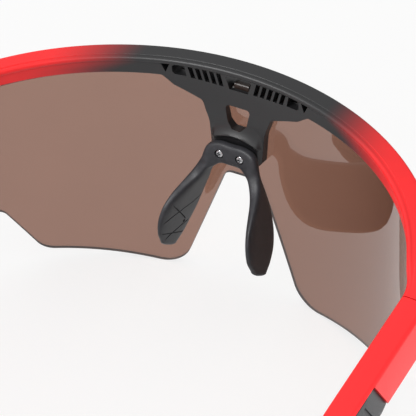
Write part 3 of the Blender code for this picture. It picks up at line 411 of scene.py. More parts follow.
class Nodes:
    """A material's nodes, with short calls to add and link them."""

    def __init__(self, name):
        self.material = bpy.data.materials.new(name)
        self.material.use_nodes = True
        self.tree = self.material.node_tree
        self.shader = self.tree.nodes["Principled BSDF"]
        self.place = self.add("ShaderNodeTexCoord").outputs["Object"]

    def add(self, kind, **settings):
        node = self.tree.nodes.new(kind)
        for key, value in settings.items():
            setattr(node, key, value)
        return node

    def link(self, output, socket):
        self.tree.links.new(output, socket)

    def set(self, **values):
        for key, value in values.items():
            self.shader.inputs[key.replace("_", " ")].default_value = value

    def noise(self, scale, detail=2.0, rough=0.5):
        """Noise whose features are about 1 / scale metres across."""
        node = self.add("ShaderNodeTexNoise")
        node.inputs["Scale"].default_value = scale
        node.inputs["Detail"].default_value = detail
        node.inputs["Roughness"].default_value = rough
        self.link(self.place, node.inputs["Vector"])
        return node.outputs["Fac"]

    def spread(self, value, low, high, start=0.3, end=0.7, ease="LINEAR"):
        """Map a value's range start to end onto low to high."""
        node = self.add("ShaderNodeMapRange", interpolation_type=ease)
        for key, number in (("From Min", start), ("From Max", end), ("To Min", low), ("To Max", high)):
            node.inputs[key].default_value = number
        self.link(value, node.inputs["Value"])
        return node.outputs["Result"]

    def blend(self, share, first, second):
        """Mix two colours, each a tuple or a socket."""
        node = self.add("ShaderNodeMix", data_type="RGBA")
        self.link(share, node.inputs["Factor"])
        for key, colour in (("A", first), ("B", second)):
            socket = next(s for s in node.inputs if s.name == key and s.type == "RGBA")
            if isinstance(colour, tuple):
                socket.default_value = (*colour, 1.0)
            else:
                self.link(colour, socket)
        return next(s for s in node.outputs if s.type == "RGBA")

    def mottle(self, value, first, second):
        """Base colour that wanders between two colours."""
        self.link(self.blend(self.spread(value, 0.0, 1.0), first, second), self.shader.inputs["Base Color"])

    def relief(self, height, depth, edge):
        """Bump of a depth in metres, on edges rounded by a radius in metres."""
        bump = self.add("ShaderNodeBump")
        bump.inputs["Distance"].default_value = depth
        self.link(height, bump.inputs["Height"])
        if edge:
            bevel = self.add("ShaderNodeBevel", samples=6)
            bevel.inputs["Radius"].default_value = edge
            self.link(bevel.outputs["Normal"], bump.inputs["Normal"])
        self.link(bump.outputs["Normal"], self.shader.inputs["Normal"])


def shade(colour, factor):
    return tuple(min(1.0, c * factor) for c in colour)


def satin_nylon(name, fade):
    """Painted satin nylon, with a red that fades to charcoal towards the middle when fade is set."""
    n = Nodes(name)
    cloud = n.noise(90.0)
    red = n.blend(n.spread(cloud, 0.0, 1.0), shade(RED, 0.94), shade(RED, 1.03))
    if fade:
        parts = n.add("ShaderNodeSeparateXYZ")
        n.link(n.place, parts.inputs[0])
        side = n.add("ShaderNodeMath", operation="ABSOLUTE")
        n.link(parts.outputs["X"], side.inputs[0])
        shift = n.spread(parts.outputs["Z"], FADE_SHIFT, 0.0, OFFSET.z - FADE_WALL, OFFSET.z - FADE_LEDGE)
        out = n.add("ShaderNodeMath", operation="SUBTRACT")
        n.link(side.outputs[0], out.inputs[0])
        n.link(shift, out.inputs[1])
        share = n.spread(out.outputs[0], 0.0, 1.0, FADE_START, FADE_END, "SMOOTHSTEP")
        red = n.blend(share, CHARCOAL, red)
    n.link(red, n.shader.inputs["Base Color"])
    grain = n.noise(4200.0, 3.0, 0.6)
    n.link(n.spread(grain, 0.36, 0.44), n.shader.inputs["Roughness"])
    n.relief(grain, 0.012 * MM, 0.12 * MM)
    n.set(IOR=1.5)
    return n.material


def soft_rubber(name):
    n = Nodes(name)
    dust = n.noise(700.0, 4.0, 0.65)
    n.mottle(dust, shade(RUBBER, 0.85), shade(RUBBER, 1.5))
    grain = n.noise(5200.0, 3.0, 0.6)
    n.link(n.spread(grain, 0.42, 0.54), n.shader.inputs["Roughness"])
    n.relief(grain, 0.016 * MM, 0.12 * MM)
    n.set(**{"Specular IOR Level": 0.25})
    return n.material


def black_plastic(name):
    n = Nodes(name)
    cloud = n.noise(300.0)
    n.mottle(cloud, shade(INLAY, 0.9), shade(INLAY, 1.2))
    grain = n.noise(4200.0, 3.0, 0.6)
    n.link(n.spread(grain, 0.34, 0.42), n.shader.inputs["Roughness"])
    n.relief(grain, 0.012 * MM, 0.1 * MM)
    return n.material


def plain_steel(name):
    """Turned stainless steel, with a fine streak."""
    n = Nodes(name)
    streak = n.noise(2400.0, 4.0, 0.7)
    n.mottle(streak, STEEL_DARK, STEEL_LIGHT)
    n.link(n.spread(streak, 0.18, 0.32), n.shader.inputs["Roughness"])
    n.relief(streak, 0.006 * MM, 0.05 * MM)
    n.set(Metallic=1.0)
    return n.material


def painted_edge_shade(name):
    """The lens's cut edge and the tab in the centre vent: painted shade, opaque, darker and rougher than the
    faces.
    """
    n = Nodes(name)
    cloud = n.noise(900.0, 3.0)
    n.mottle(cloud, shade(EDGE_SHADE, 0.85), shade(EDGE_SHADE, 1.15))
    n.link(n.spread(cloud, 0.3, 0.42), n.shader.inputs["Roughness"])
    return n.material


def tinted_lens(name):
    """Brown polycarbonate, clear enough to see the table through."""
    n = Nodes(name)
    cloud = n.noise(40.0, 1.0)
    tint = n.blend(n.spread(cloud, 0.0, 1.0), shade(BROWN, 0.98), shade(BROWN, 1.02))
    slant = n.add("ShaderNodeLayerWeight").outputs["Facing"]
    tint = n.blend(n.spread(slant, 0.0, 1.0, 0.15, 0.65), tint, BROWN_EDGE_ON)
    n.link(tint, n.shader.inputs["Base Color"])
    n.set(Roughness=0.015, IOR=1.68)
    n.set(**{"Transmission Weight": 1.0})
    return n.material


NYLON_FADE = satin_nylon("nylon_red_to_black", True)
NYLON_RED = satin_nylon("nylon_red", False)
SOFT_RUBBER = soft_rubber("soft_rubber")
BLACK_PLASTIC = black_plastic("black_plastic")
STEEL = plain_steel("plain_steel")
LENS_TINT = tinted_lens("lens_tint")
LENS_EDGE_SHADE = painted_edge_shade("lens_edge")


# ---------------------------------------------------------------- brow frame

WALL_ROWS = [*np.linspace(0.01, 0.5, 14), *np.linspace(0.51, 0.76, 24), *np.linspace(0.78, 0.99, 9)]


def brow_top(girth):
    fall = BROW_DROP * (girth / LENS_HALF_GIRTH) ** 2
    return -fall - END_EXTRA_DROP * smooth((abs(girth) - END_START) / (END_FULL_DROP - END_START))


def brow_low(girth):
    """Lower edge of the inner wall away from the bracket."""
    return brow_top(girth) - WALL_HEIGHT + 0.35 * (BROW_DROP * (girth / LENS_HALF_GIRTH) ** 2)


def front_low(girth):
    side = smooth((abs(girth) - FRONT_STEP_START) / FRONT_STEP_RUN)
    return -CENTRE_FRONT_HEIGHT * (1 - side) + (brow_top(girth) - FRONT_HEIGHT) * side


def inner_edge():
    """The inner wall's lower edge from the centre out past the vents: bracket, flare and brow."""
    flare_end = VENT_HALF_SPAN + 1.6 * MM
    corners = [
        (0.0, -BRACKET_DEPTH, 0.0),
        (BRACKET_HALF_WIDTH, -BRACKET_DEPTH, 1.6 * MM),
        (BRACKET_HALF_WIDTH + 0.7 * MM, -BRACKET_DEPTH + 9.3 * MM, 8 * MM),
        (BRACKET_HALF_WIDTH + 2.6 * MM, -WINDOW_TOP - 0.4 * MM, 1.8 * MM),
        (VENT_HALF_SPAN - 2.8 * MM, -WINDOW_TOP + 2.4 * MM, 2.4 * MM),
        (VENT_HALF_SPAN + 0.4 * MM, brow_low(VENT_HALF_SPAN), 1.6 * MM),
        (flare_end + 3 * MM, brow_low(flare_end + 3 * MM), 0.0),
    ]
    return spaced(round_corners(corners, 10), 0.8 * MM)


def back_off(girth, w):
    """How far the inner wall stands off the sheet, with the bracket's arched lip and its flat seat."""
    depth = -w
    wall = WALL_OFF + (BRACKET_BACK - WALL_OFF) * smooth((depth - 5 * MM) / (9 * MM))
    seat = WALL_OFF
    if abs(girth) < BRACKET_HALF_WIDTH + 2 * MM:
        seat = max(SEAT_BACK - front_point(girth, 0.0, w).y, WALL_OFF)
    past = depth - LIP_DEPTH - ARCH_DROP * (girth / BRACKET_HALF_WIDTH) ** 2
    climb = min(max(past / LIP_RUN + 1, 0.0), 1.0) ** 2
    lip = LIP_HEIGHT * climb * (1 - smooth(past / LIP_FALL))
    inside = 1 - smooth((abs(girth) - SEAT_HALF_WIDTH) / SEAT_EDGE_RUN)
    return -(wall + ((seat - wall) * climb + lip) * inside)


def bowed(part, girth):
    """How far down the wall a row runs, of the wall's height, bowed as the lip is."""
    bow = ARCH_DROP / BRACKET_DEPTH * min(1.0, abs(girth) / BRACKET_HALF_WIDTH) ** 2
    return part + 4 * bow * part * (1 - part)


def brow_profile(girth, low):
    """The brow's closed section as (off, w), from its outer top edge round the inner side."""
    top, front = brow_top(girth), front_low(girth)
    edge_round, lip, foot = 0.55 * MM, 0.14 * MM, 0.35 * MM
    outer = arc(LEDGE_OUTER - edge_round, top - edge_round, edge_round, 0, 90, 7)
    ledge = line(outer[-1], (-LEDGE_INNER + lip, top - 0.02 * MM), 6)
    groove = arc(-LEDGE_INNER + lip, top - 0.02 * MM - lip, lip, 100, 180, 4)
    groove += [(-LEDGE_INNER - 0.08 * MM, top - 0.15 * MM), (-LEDGE_INNER - 0.2 * MM, top - 0.17 * MM)]
    bead = arc(-BEAD_OFF, top - BEAD_DROP, BEAD_RADIUS, 66, 240, 20)
    wall_top = top - 1.7 * MM
    heights = [wall_top + (low + foot - wall_top) * bowed(part, girth) for part in WALL_ROWS]
    wall = [(back_off(girth, w), w) for w in heights]
    edge = back_off(girth, low)
    below = arc(edge + foot, low + foot, foot, 180, 270, 6) + [(0.0, low), (0.0, front)]
    front_foot = arc(LEDGE_OUTER - 1.2 * MM, front + 0.5 * MM, 0.5 * MM, 270, 360, 6)
    return outer + ledge + groove + bead + wall + below + front_foot


def seam_profile():
    """The end piece's section at the hinge seam as (o, v), point for point as the brow's."""
    wide, tall, r = ARM_THICKNESS, ARM_HEIGHT, ARM_ROUNDING
    outer = arc(wide - r, r, r, 0, -90, 7)
    ledge = line(outer[-1], (1.6 * MM, 0.0), 6)
    groove = line(ledge[-1], (r + 0.05 * MM, 0.0), 6)
    bead = arc(r, r, r, -90, -180, 20)
    wall = [(0.0, r + (tall - 2 * r) * part) for part in WALL_ROWS]
    below = arc(r, tall - r, r, 180, 90, 6) + [(ARM_IN, tall), (ARM_IN + 0.4 * MM, tall)]
    return outer + ledge + groove + bead + wall + below + arc(wide - r, tall - r, r, 90, 0, 6)


def brow_ring(girth, low):
    return [front_point(girth, off, w) for off, w in brow_profile(girth, low)]


def end_rings(side):
    """Rings that carry the brow's section smoothly into the hinge seam's section."""
    first = brow_ring(side * END_RING, brow_low(END_RING))
    before = brow_ring(side * (END_RING - MM), brow_low(END_RING - MM))
    last = [arm_point(side, -GAP / 2, o, v) for o, v in seam_profile()]
    ahead = Vector((ARM_DIRECTION.x * side, ARM_DIRECTION.y, ARM_DIRECTION.z))
    count = 24
    rings = []
    for i in range(1, count + 1):
        t = i / count
        ring = []
        for start, behind, end in zip(first, before, last):
            reach = (end - start).length
            leave = (start - behind).normalized() * reach
            ring.append(start * (1 + t * t * (2 * t - 3)) + leave * (t * (1 - t) ** 2)
                        + end * (t * t * (3 - 2 * t)) + ahead * (reach * t * t * (t - 1)))
        rings.append(ring)
    return rings


def half_sections():
    """Sections of one half from the centre outwards, as (girth, lower edge)."""
    sections = [(point.x, point.y) for point in inner_edge()]
    count = 56
    start = sections[-1][0]
    for i in range(1, count + 1):
        girth = start + (END_RING - start) * i / count
        sections.append((girth, brow_low(girth)))
    return sections


def lens_top(girth, tab_half, vent_half):
    """Upper edge of the lens: under the brow's skin at the sides, below the vents between them."""
    side = abs(girth)
    floor = -VENT_FLOOR - 0.1 * MM
    if side <= tab_half:
        return floor + TAB_HEIGHT
    if side <= vent_half:
        return floor + VENT_RISE * side / VENT_HALF_SPAN
    return brow_top(girth) - LENS_SKIN


def top_steps(tab_half, vent_half):
    """Girths on both sides of each step in the lens's upper edge."""
    return [tab_half, tab_half + STEP_RUN, vent_half, vent_half + STEP_RUN]


def groove_cutter():
    """The lens groove with its clearance, run down past the bracket's lower end."""
    tab_half, vent_half = TAB_HALF_WIDTH + GAP, VENT_HALF_SPAN
    end = LENS_HALF_GIRTH + GAP
    stops = [float(g) for g in np.linspace(0.0, vent_half - 0.5 * MM, 18)] + top_steps(tab_half, vent_half)
    stops += [float(g) for g in np.linspace(vent_half + MM, end, 50)]
    low = -BRACKET_DEPTH - 5 * MM
    half = [(g, low, lens_top(g, tab_half, vent_half) + GAP) for g in sorted(stops)]
    sections = [(-g, a, b) for g, a, b in reversed(half[1:])] + half
    side = LENS_THICKNESS / 2 + GAP
    return loft("groove_cutter", [[front_point(g, side, a), front_point(g, side, b), front_point(g, -side, b),
                                   front_point(g, -side, a)] for g, a, b in sections])


def vent_outlines():
    """The slots of one half as outlines in X and Z: leaning ones, a wide one and a triangle."""
    outlines = []
    for i in range(SLOT_COUNT):
        x = SLOT_FIRST + i * SLOT_PITCH
        floor = -VENT_FLOOR + VENT_RISE * x / VENT_HALF_SPAN
        low_x = x - SLOT_LEAN
        outlines.append([(x - SLOT_WIDTH / 2, -VENT_TOP), (x + SLOT_WIDTH / 2, -VENT_TOP),
                         (low_x + SLOT_WIDTH / 2, floor), (low_x - SLOT_WIDTH / 2, floor)])
    wide_in = SLOT_FIRST + SLOT_COUNT * SLOT_PITCH - 0.4 * MM
    wide_out = wide_in + 3.1 * MM
    floor = -VENT_FLOOR + VENT_RISE * 0.95
    outlines.append([(wide_in, -VENT_TOP), (wide_out - 0.6 * MM, -VENT_TOP), (wide_out, -VENT_TOP - 0.6 * MM),
                     (wide_out - 0.1 * MM, floor + 0.6 * MM), (wide_out - 0.7 * MM, floor),
                     (wide_in - 0.6 * MM, floor - 0.15 * MM)])
    outlines.append([(wide_out + 0.6 * MM, -VENT_TOP + 0.1 * MM), (VENT_HALF_SPAN - 0.3 * MM, -VENT_TOP),
                     (wide_out + 1.6 * MM, -4.2 * MM)])
    return outlines


def mirrored_outline(half):
    return half + [(-x, z) for x, z in reversed(half)]


def centre_vent():
    top, low, corner = 3.5 * MM, 2.5 * MM, 0.6 * MM
    return mirrored_outline([(top - corner, -VENT_TOP), (top, -VENT_TOP - corner), (low, -VENT_FLOOR)])


def window_outline():
    """The shield-shaped window in the bracket, with a rounded lower end."""
    low = -WINDOW_TOP - WINDOW_HEIGHT
    corners = [(0.0, -WINDOW_TOP, 0.0), (WINDOW_TOP_HALF, -WINDOW_TOP, 0.9 * MM),
               (WINDOW_LOW_HALF + 0.1 * MM, low + 1.6 * MM, 1.2 * MM), (1.2 * MM, low, 1.0 * MM),
               (0.0, low, 0.0)]
    return mirrored_outline([(p.x, p.y) for p in round_corners(corners, 8)[1:-1]])


def along_y(name, side, radius, start, end, sides=40):
    """A bar along Y at one nose screw's place."""
    at = Vector((side * NOSE_SCREW_X, 0.0, -NOSE_SCREW_Z))
    return bar(name, at + Vector((0, start, 0)), at + Vector((0, end, 0)), radius, sides=sides)


def hinge_pockets(side, end):
    """What the hinge takes out of the end piece (end -1) or the arm (end +1)."""
    top, low = BARREL_TOP - GAP, BARREL_TOP + BARREL_HEIGHT + GAP
    barrel = bar(f"barrel_pocket_{side}_{end}", arm_point(side, 0, 0, top - PIVOT_HEAD_HEIGHT - GAP),
                 arm_point(side, 0, 0, low), BARREL_RADIUS + GAP)
    reach = end * (LEAF_START + LEAF_LENGTH + GAP)
    deep = LEAF_THICKNESS + 0.1 * MM + GAP
    corners = ((-6 * MM, top), (deep, top), (deep, low), (-6 * MM, low))
    rings = [[arm_point(side, s, o, v) for o, v in corners] for s in (0.0, reach)]
    leaf = loft(f"leaf_pocket_{side}_{end}", rings)
    return [barrel, leaf]


def build_brow():
    half = half_sections()
    rings = [brow_ring(girth, low) for girth, low in half]
    other = [brow_ring(-girth, low) for girth, low in half]
    rings = list(reversed(end_rings(-1))) + list(reversed(other[1:])) + rings + end_rings(1)
    brow = loft("brow", rings)
    tools = [groove_cutter(), prism("centre_vent", centre_vent(), -9 * MM, 12 * MM),
             prism("window", window_outline(), -1.5 * MM, 9 * MM)]
    for side in (1, -1):
        for i, outline in enumerate(vent_outlines()):
            tools.append(prism(f"vent_{side}_{i}", [(x * side, z) for x, z in outline], -9 * MM, 12 * MM))
        tools.append(along_y(f"pilot_{side}", side, NOSE_SHAFT_RADIUS + GAP, MM, SEAT_BACK + 2 * MM))
        tools += hinge_pockets(side, -1)
    carve(brow, tools)
    finish_piece(brow, "front", "brow_frame", NYLON_FADE)


# ---------------------------------------------------------------- lens

def lens_edge():
    """Lower edge of one half of the lens, laid flat, from the notch to the temple end."""
    corner_w = -LENS_LOW + LENS_SLOPE * (LENS_CORNER - NOTCH_HALF_LOW)
    corners = [
        (0.0, -NOTCH_TOP, 0.0),
        (NOTCH_HALF_TOP, -NOTCH_TOP, 2.4 * MM),
        (NOTCH_HALF_LOW, -LENS_LOW, 8.0 * MM),
        (LENS_CORNER, corner_w, 7.0 * MM),
        (LENS_CORNER + 9.6 * MM, corner_w + 14.6 * MM, 4.0 * MM),
        (LENS_HALF_GIRTH - 3.5 * MM, corner_w + 19.5 * MM, 6.0 * MM),
        (LENS_HALF_GIRTH, corner_w + 40.0 * MM, 0.0),
    ]
    return spaced(round_corners(corners, 20), 1.0 * MM)


def lens_ring(girth, low, high):
    """A cut through the lens, with chamfered edges and enough rows for even shading."""
    half, bevel = LENS_THICKNESS / 2, LENS_CHAMFER
    heights = [low + bevel + (high - low - 2 * bevel) * i / LENS_ROWS for i in range(LENS_ROWS + 1)]
    front = [(half, w) for w in heights]
    back = [(-half, w) for w in reversed(heights)]
    top = [(half - bevel, high), (bevel - half, high)]
    bottom = [(bevel - half, low), (half - bevel, low)]
    outline = front + top + back + bottom
    return [front_point(girth, off, w) for off, w in outline]


def build_lens():
    tab_half, vent_half = TAB_HALF_WIDTH, VENT_HALF_SPAN + 2 * GAP
    edge = lens_edge()
    girths, lows = [point.x for point in edge], [point.y for point in edge]
    half = [(g, float(np.interp(g, girths, lows)), lens_top(g, tab_half, vent_half))
            for g in sorted(girths + top_steps(tab_half, vent_half))]
    sections = [(-g, a, b) for g, a, b in reversed(half[1:])] + half
    lens = loft("lens", [lens_ring(*section) for section in sections])
    finish_piece(lens, "front", "shield_lens", LENS_TINT)
    lens.data.materials.append(LENS_EDGE_SHADE)
    per_ring = 2 * (LENS_ROWS + 1) + 4
    # faces on the cut edge and on the tab in the centre vent get the painted-shade colour instead of the
    # clear tint
    for face in lens.data.polygons:
        place = face.index % per_ring
        on_edge = LENS_ROWS <= place < LENS_ROWS + 3 or place >= per_ring - 3
        above_floor = face.center.z > OFFSET.z - VENT_FLOOR - 0.05 * MM
        in_vent = above_floor and abs(face.center.x) < TAB_HALF_WIDTH + MM
        on_side = face.index < per_ring * (len(sections) - 1)
        face.material_index = int((on_edge and on_side) or in_vent)
    lens.visible_shadow = False  # the lens casts no shadow at all, where a real one casts a faint brown one


# ---------------------------------------------------------------- nose piece

def nose_stations():
    """Half the nose piece from its middle to a pad's tip. Each station is the section's four
    corners: medial rear, lateral rear, lateral front and medial front."""
    front, rear = SEAT_BACK + GAP, SADDLE_REAR
    top, low = -SADDLE_TOP, -SADDLE_TOP - SADDLE_HEIGHT
    saddle = [
        [(0.0, rear, low), (0.0, rear, top), (0.0, front, top), (0.0, front, low - 0.2 * MM)],
        [(2.8 * MM, rear, low - 0.2 * MM), (3.6 * MM, rear, top), (3.6 * MM, front, top),
         (2.8 * MM, front, low - 0.4 * MM)],
        [(4.7 * MM, rear + 0.9 * MM, low - 1.4 * MM), (6.6 * MM, rear + 0.2 * MM, top - 1.4 * MM),
         (6.5 * MM, front, top - 1.6 * MM), (4.7 * MM, front, low - 2.0 * MM)],
    ]
    arm = [
        [(5.9, 8.6, -26.4), (8.3, 6.6, -24.6), (8.0, 4.7, -26.2), (5.6, 4.5, -28.8)],
        [(6.9, 9.8, -28.6), (9.7, 8.6, -27.3), (9.1, 4.0, -30.0), (6.6, 3.6, -31.6)],
        [(8.1, 12.0, -30.3), (11.0, 12.4, -29.4), (10.0, 3.3, -33.6), (7.8, 3.1, -34.6)],
        [(9.2, 14.8, -31.9), (12.1, 16.2, -31.4), (11.0, 3.2, -37.6), (9.0, 3.1, -38.0)],
        [(10.3, 17.6, -33.9), (12.8, 19.0, -34.0), (12.0, 3.9, -41.6), (10.2, 3.9, -41.8)],
        [(11.2, 19.6, -36.9), (13.3, 20.1, -37.6), (12.8, 5.6, -45.4), (11.4, 5.6, -45.4)],
        [(11.9, 20.0, -41.0), (13.5, 19.6, -41.8), (13.3, 8.2, -48.2), (12.1, 8.2, -48.2)],
        [(12.3, 18.2, -44.9), (13.6, 18.0, -45.3), (13.7, 11.0, -49.7), (12.4, 11.0, -49.6)],
    ]
    return saddle + [[tuple(c * MM for c in corner) for corner in station] for station in arm]


def in_section(station, across, along):
    """A place in a section: across runs -1 to 1 medial to lateral, along -1 to 1 front to rear."""
    medial_rear, lateral_rear, lateral_front, medial_front = station
    rear = medial_rear.lerp(lateral_rear, (across + 1) / 2)
    front = medial_front.lerp(lateral_front, (across + 1) / 2)
    return front.lerp(rear, (along + 1) / 2)


def smooth_stations(steps):
    corners = [[Vector(corner) for corner in track] for track in zip(*nose_stations())]
    return list(zip(*[catmull(track, steps) for track in corners]))


def section_outline(roundness, count):
    """A square from -1 to 1 with rounded corners, as a superellipse."""
    power = 2 / roundness
    points = []
    for i in range(count):
        angle = 2 * pi * (i + 0.5) / count
        c, s = cos(angle), sin(angle)
        points.append((abs(c) ** power * (1 if c > 0 else -1), abs(s) ** power * (1 if s > 0 else -1)))
    return points


def pad_place(stations, side, station, along, lift=0.0):
    """A place on a pad's medial face, lifted off it towards the wearer's nose."""
    row = station * PAD_STEPS
    before = stations[int(row)]
    after = stations[min(int(row) + 1, len(stations) - 1)]
    share = row - int(row)
    point = in_section(before, -1, along).lerp(in_section(after, -1, along), share)
    outward = in_section(before, -1, along) - in_section(before, 1, along)
    point += outward.normalized() * lift
    return Vector((point.x * side, point.y, point.z))


def pad_engraving(stations, side):
    """Cutters for the thin crossed lines and the small hole in a pad's medial face."""
    tools = []
    for k, (first, last) in enumerate(PAD_LINES):
        rings = []
        for i in range(13):
            t = i / 12
            station, along = (a + (b - a) * t for a, b in zip(first, last))
            low = pad_place(stations, side, station, along, -LINE_DEPTH)
            high = pad_place(stations, side, station, along, 3 * LINE_DEPTH)
            ahead = pad_place(stations, side, last[0], last[1]) - pad_place(stations, side, *first)
            across = ahead.cross(high - low).normalized() * (LINE_WIDTH / 2)
            rings.append([low - across, low + across, high + across, high - across])
        tools.append(loft(f"pad_line_{side}_{k}", rings))
    tools.append(bar(f"pad_hole_{side}", pad_place(stations, side, *PAD_HOLE, -0.8 * MM),
                     pad_place(stations, side, *PAD_HOLE, MM), PAD_HOLE_RADIUS))
    return tools


def build_nose():
    stations = smooth_stations(PAD_STEPS)
    outline = section_outline(3.2, 48)
    rings = [[in_section(station, a, b) for a, b in outline] for station in stations]
    middle = sum(rings[-1], Vector()) / len(outline)
    ahead = (middle - sum(rings[-4], Vector()) / len(outline)).normalized()
    tip = rings[-1]
    for share in (0.25, 0.5, 0.7, 0.85, 0.95, 1.0):
        size = (1 - 0.8 * share * share) ** 0.5
        rings.append([middle + (p - middle) * size + ahead * (0.9 * MM * share) for p in tip])
    other = [[Vector((-p.x, p.y, p.z)) for p in ring] for ring in reversed(rings[1:])]
    nose = loft("nose_rubber", other + rings)
    tools = []
    for side in (1, -1):
        tools.append(along_y(f"hole_{side}", side, NOSE_SHAFT_RADIUS + GAP, SEAT_BACK - MM,
                             SADDLE_REAR + 2 * MM))
        tools.append(along_y(f"bore_{side}", side, NOSE_HEAD_RADIUS + GAP / 2, NOSE_HEAD_FRONT - GAP,
                             SADDLE_REAR + 2 * MM))
        tools += pad_engraving(stations, side)
    carve(nose, tools)
    finish_piece(nose, "front", "nose_piece", SOFT_RUBBER, 40)


def build_nose_screw(side, word):
    """A domed head with a cross recess on a plain shaft."""
    screw = along_y(f"nose_bolt_{word}", side, NOSE_SHAFT_RADIUS, SEAT_BACK - NOSE_SCREW_BITE,
                    NOSE_HEAD_FRONT + 0.2 * MM)
    at = Vector((side * NOSE_SCREW_X, 0.0, -NOSE_SCREW_Z))
    rings = []
    dome = ((1.0, 0.0), (1.0, 0.32), (0.97, 0.42), (0.9, 0.51), (0.78, 0.6), (0.6, 0.66), (0.4, 0.69))
    for radius, y in dome:
        rings.append([at + Vector((radius * NOSE_HEAD_RADIUS * cos(2 * pi * i / 48), NOSE_HEAD_FRONT + y * MM,
                                   radius * NOSE_HEAD_RADIUS * sin(2 * pi * i / 48))) for i in range(48)])
    carve(screw, [loft("head", rings)], "UNION")
    tools = []
    for i, (wide, tall) in enumerate(((0.66, 0.19), (0.19, 0.66))):
        ends = []
        for y, share in ((SADDLE_REAR - 0.6 * MM, 0.6), (SADDLE_REAR + 0.1 * MM, 1.0)):
            ends.append([at + Vector((a * wide * MM * share, y, b * tall * MM))
                         for a, b in ((-1, -1), (1, -1), (1, 1), (-1, 1))])
        tools.append(loft(f"cross_{i}", ends))
    carve(screw, tools)
    finish_piece(screw, "front", f"nose_screw_{word}", STEEL)


# ---------------------------------------------------------------- temples

def lowest_lens_point():
    return min(front_point(point.x, -LENS_THICKNESS / 2, point.y).z for point in lens_edge())


def ear_bend(s):
    part = max(0.0, (s - EAR_START) / (ARM_LENGTH - EAR_START))
    return part ** EAR_CURVE


def arm_taper(s):
    return smooth((s - TAPER_START) / (EAR_START - TAPER_START))


TIP_SHAPE = {"drop": 20.0 * MM}


def settle_tips():
    """Set the tips' drop so that they reach the foot's depth below the lens's lowest point."""
    target = lowest_lens_point() - FOOT_DEPTH
    for _ in range(12):
        low = min(point.z for ring in tip_rings(1) for point in ring)
        TIP_SHAPE["drop"] += (low - target) / ARM_UP.z


def arm_centre(side, s):
    bend = ear_bend(s)
    inward = (ARM_THICKNESS - ARM_THINNING * arm_taper(s)) / 2 - TIP_INWARD * bend
    return arm_point(side, s, inward, ARM_HEIGHT / 2 + TIP_SHAPE["drop"] * bend)


def arm_section(side, s, thickness, height, corner, count=9):
    """A rounded rectangle across the arm at s, turned with the arm's bend."""
    step = 0.5 * MM
    centre = arm_centre(side, s)
    ahead = (arm_centre(side, s + step) - arm_centre(side, s - step)).normalized()
    if s < EAR_START - MM:
        ahead = (arm_point(side, 1, 0, 0) - arm_point(side, 0, 0, 0)).normalized()
    across = arm_point(side, 0, 1, 0) - arm_point(side, 0, 0, 0)
    up = ahead.cross(across).normalized() * -side
    if up.z < 0:
        up = -up
    out = (across - ahead * across.dot(ahead)).normalized()
    ring = []
    for quarter in range(4):
        cx = (thickness / 2 - corner) * (1 if quarter in (0, 3) else -1)
        cy = (height / 2 - corner) * (1 if quarter in (0, 1) else -1)
        for i in range(count):
            turn = pi / 2 * (quarter + i / (count - 1))
            ring.append(centre + out * (cx + corner * cos(turn)) + up * (cy + corner * sin(turn)))
    return ring


def arm_size(s):
    """Thickness and height of the arm at s."""
    return ARM_THICKNESS - ARM_THINNING * arm_taper(s), ARM_HEIGHT - ARM_LOWERING * arm_taper(s)


def arm_rings(side, first, last, count):
    rings = []
    for i in range(count):
        s = first + (last - first) * i / (count - 1)
        rings.append(arm_section(side, s, *arm_size(s), ARM_ROUNDING))
    return rings


def inlay_region(name, side, grow):
    """The slice of the arm's outer face that the inlay fills, grown by a clearance."""
    rear = TIP_START - 0.2 * MM + grow
    across = arm_point(side, 0, 1, 0) - arm_point(side, 0, 0, 0)
    down = arm_point(side, 0, 0, 1) - arm_point(side, 0, 0, 0)
    rings = []
    for part in [0.0] + list(np.linspace(0.04, 1.0, 34)):
        ring = []
        for o, v in ((0, 0), (1, 0), (1, 1), (0, 1)):
            depth = (0.7 * MM - grow, ARM_HEIGHT + 4 * MM)[v]
            front = INLAY_START - grow - INLAY_SLANT * depth
            s = front + (rear - front) * part
            thickness = arm_size(s)[0]
            offset = thickness / 2 - INLAY_DEPTH - grow if o == 0 else thickness / 2 + 3 * MM
            ring.append(arm_centre(side, s) + across * offset + down * (depth - ARM_HEIGHT / 2))
        rings.append(ring)
    return loft(name, rings)


def inlay_cuts(side):
    """The sloped facet at the inlay's front, and the slanted grooves behind it."""
    tools = []
    surface = ARM_THICKNESS

    def place(s, o, v):
        return arm_point(side, s - INLAY_SLANT * v, o, v)

    high, low = -MM, ARM_HEIGHT + 2 * MM
    front = INLAY_START - 0.2 * MM
    rings = []
    for v in (high, low):
        rings.append([place(front, surface - FACET_DEPTH, v),
                      place(front + FACET_LENGTH, surface + 0.02 * MM, v),
                      place(front + FACET_LENGTH, surface + 2 * MM, v), place(front, surface + 2 * MM, v)])
    tools.append(loft("facet", rings))
    for i in range(RIB_COUNT):
        s = front + FACET_LENGTH + RIB_PITCH * (i + 0.6)
        rings = []
        for v in (2.4 * MM, ARM_HEIGHT - 2.6 * MM):
            corners = ((0.0, -RIB_DEPTH), (RIB_WIDTH, -RIB_DEPTH), (RIB_WIDTH, 2 * MM), (0.0, 2 * MM))
            rings.append([place(s + a, surface + o, v) for a, o in corners])
        tools.append(loft(f"rib_{i}", rings))
    return tools


def tip_rings(side):
    """The sleeve's outside, from its mouth to its rounded end."""
    end_run = 4 * MM
    stops = [float(s) for s in np.linspace(TIP_START, ARM_LENGTH - end_run, 40)]
    stops += [ARM_LENGTH - end_run * part for part in (0.75, 0.5, 0.3, 0.18, 0.08, 0.0)]
    rings = []
    for s in stops:
        swell = smooth((s - TIP_START) / (10 * MM))
        thin, low = arm_size(s)
        end = max(0.0, 1 - (ARM_LENGTH - s) / end_run)
        shrink = (1 - end ** 2 * 0.75) ** 0.5
        thickness = (thin + (TIP_THICKNESS - thin) * swell) * shrink
        height = (low + (TIP_HEIGHT - low) * swell) * shrink
        rings.append(arm_section(side, s, thickness, height, min(thickness, height) * 0.38))
    return rings


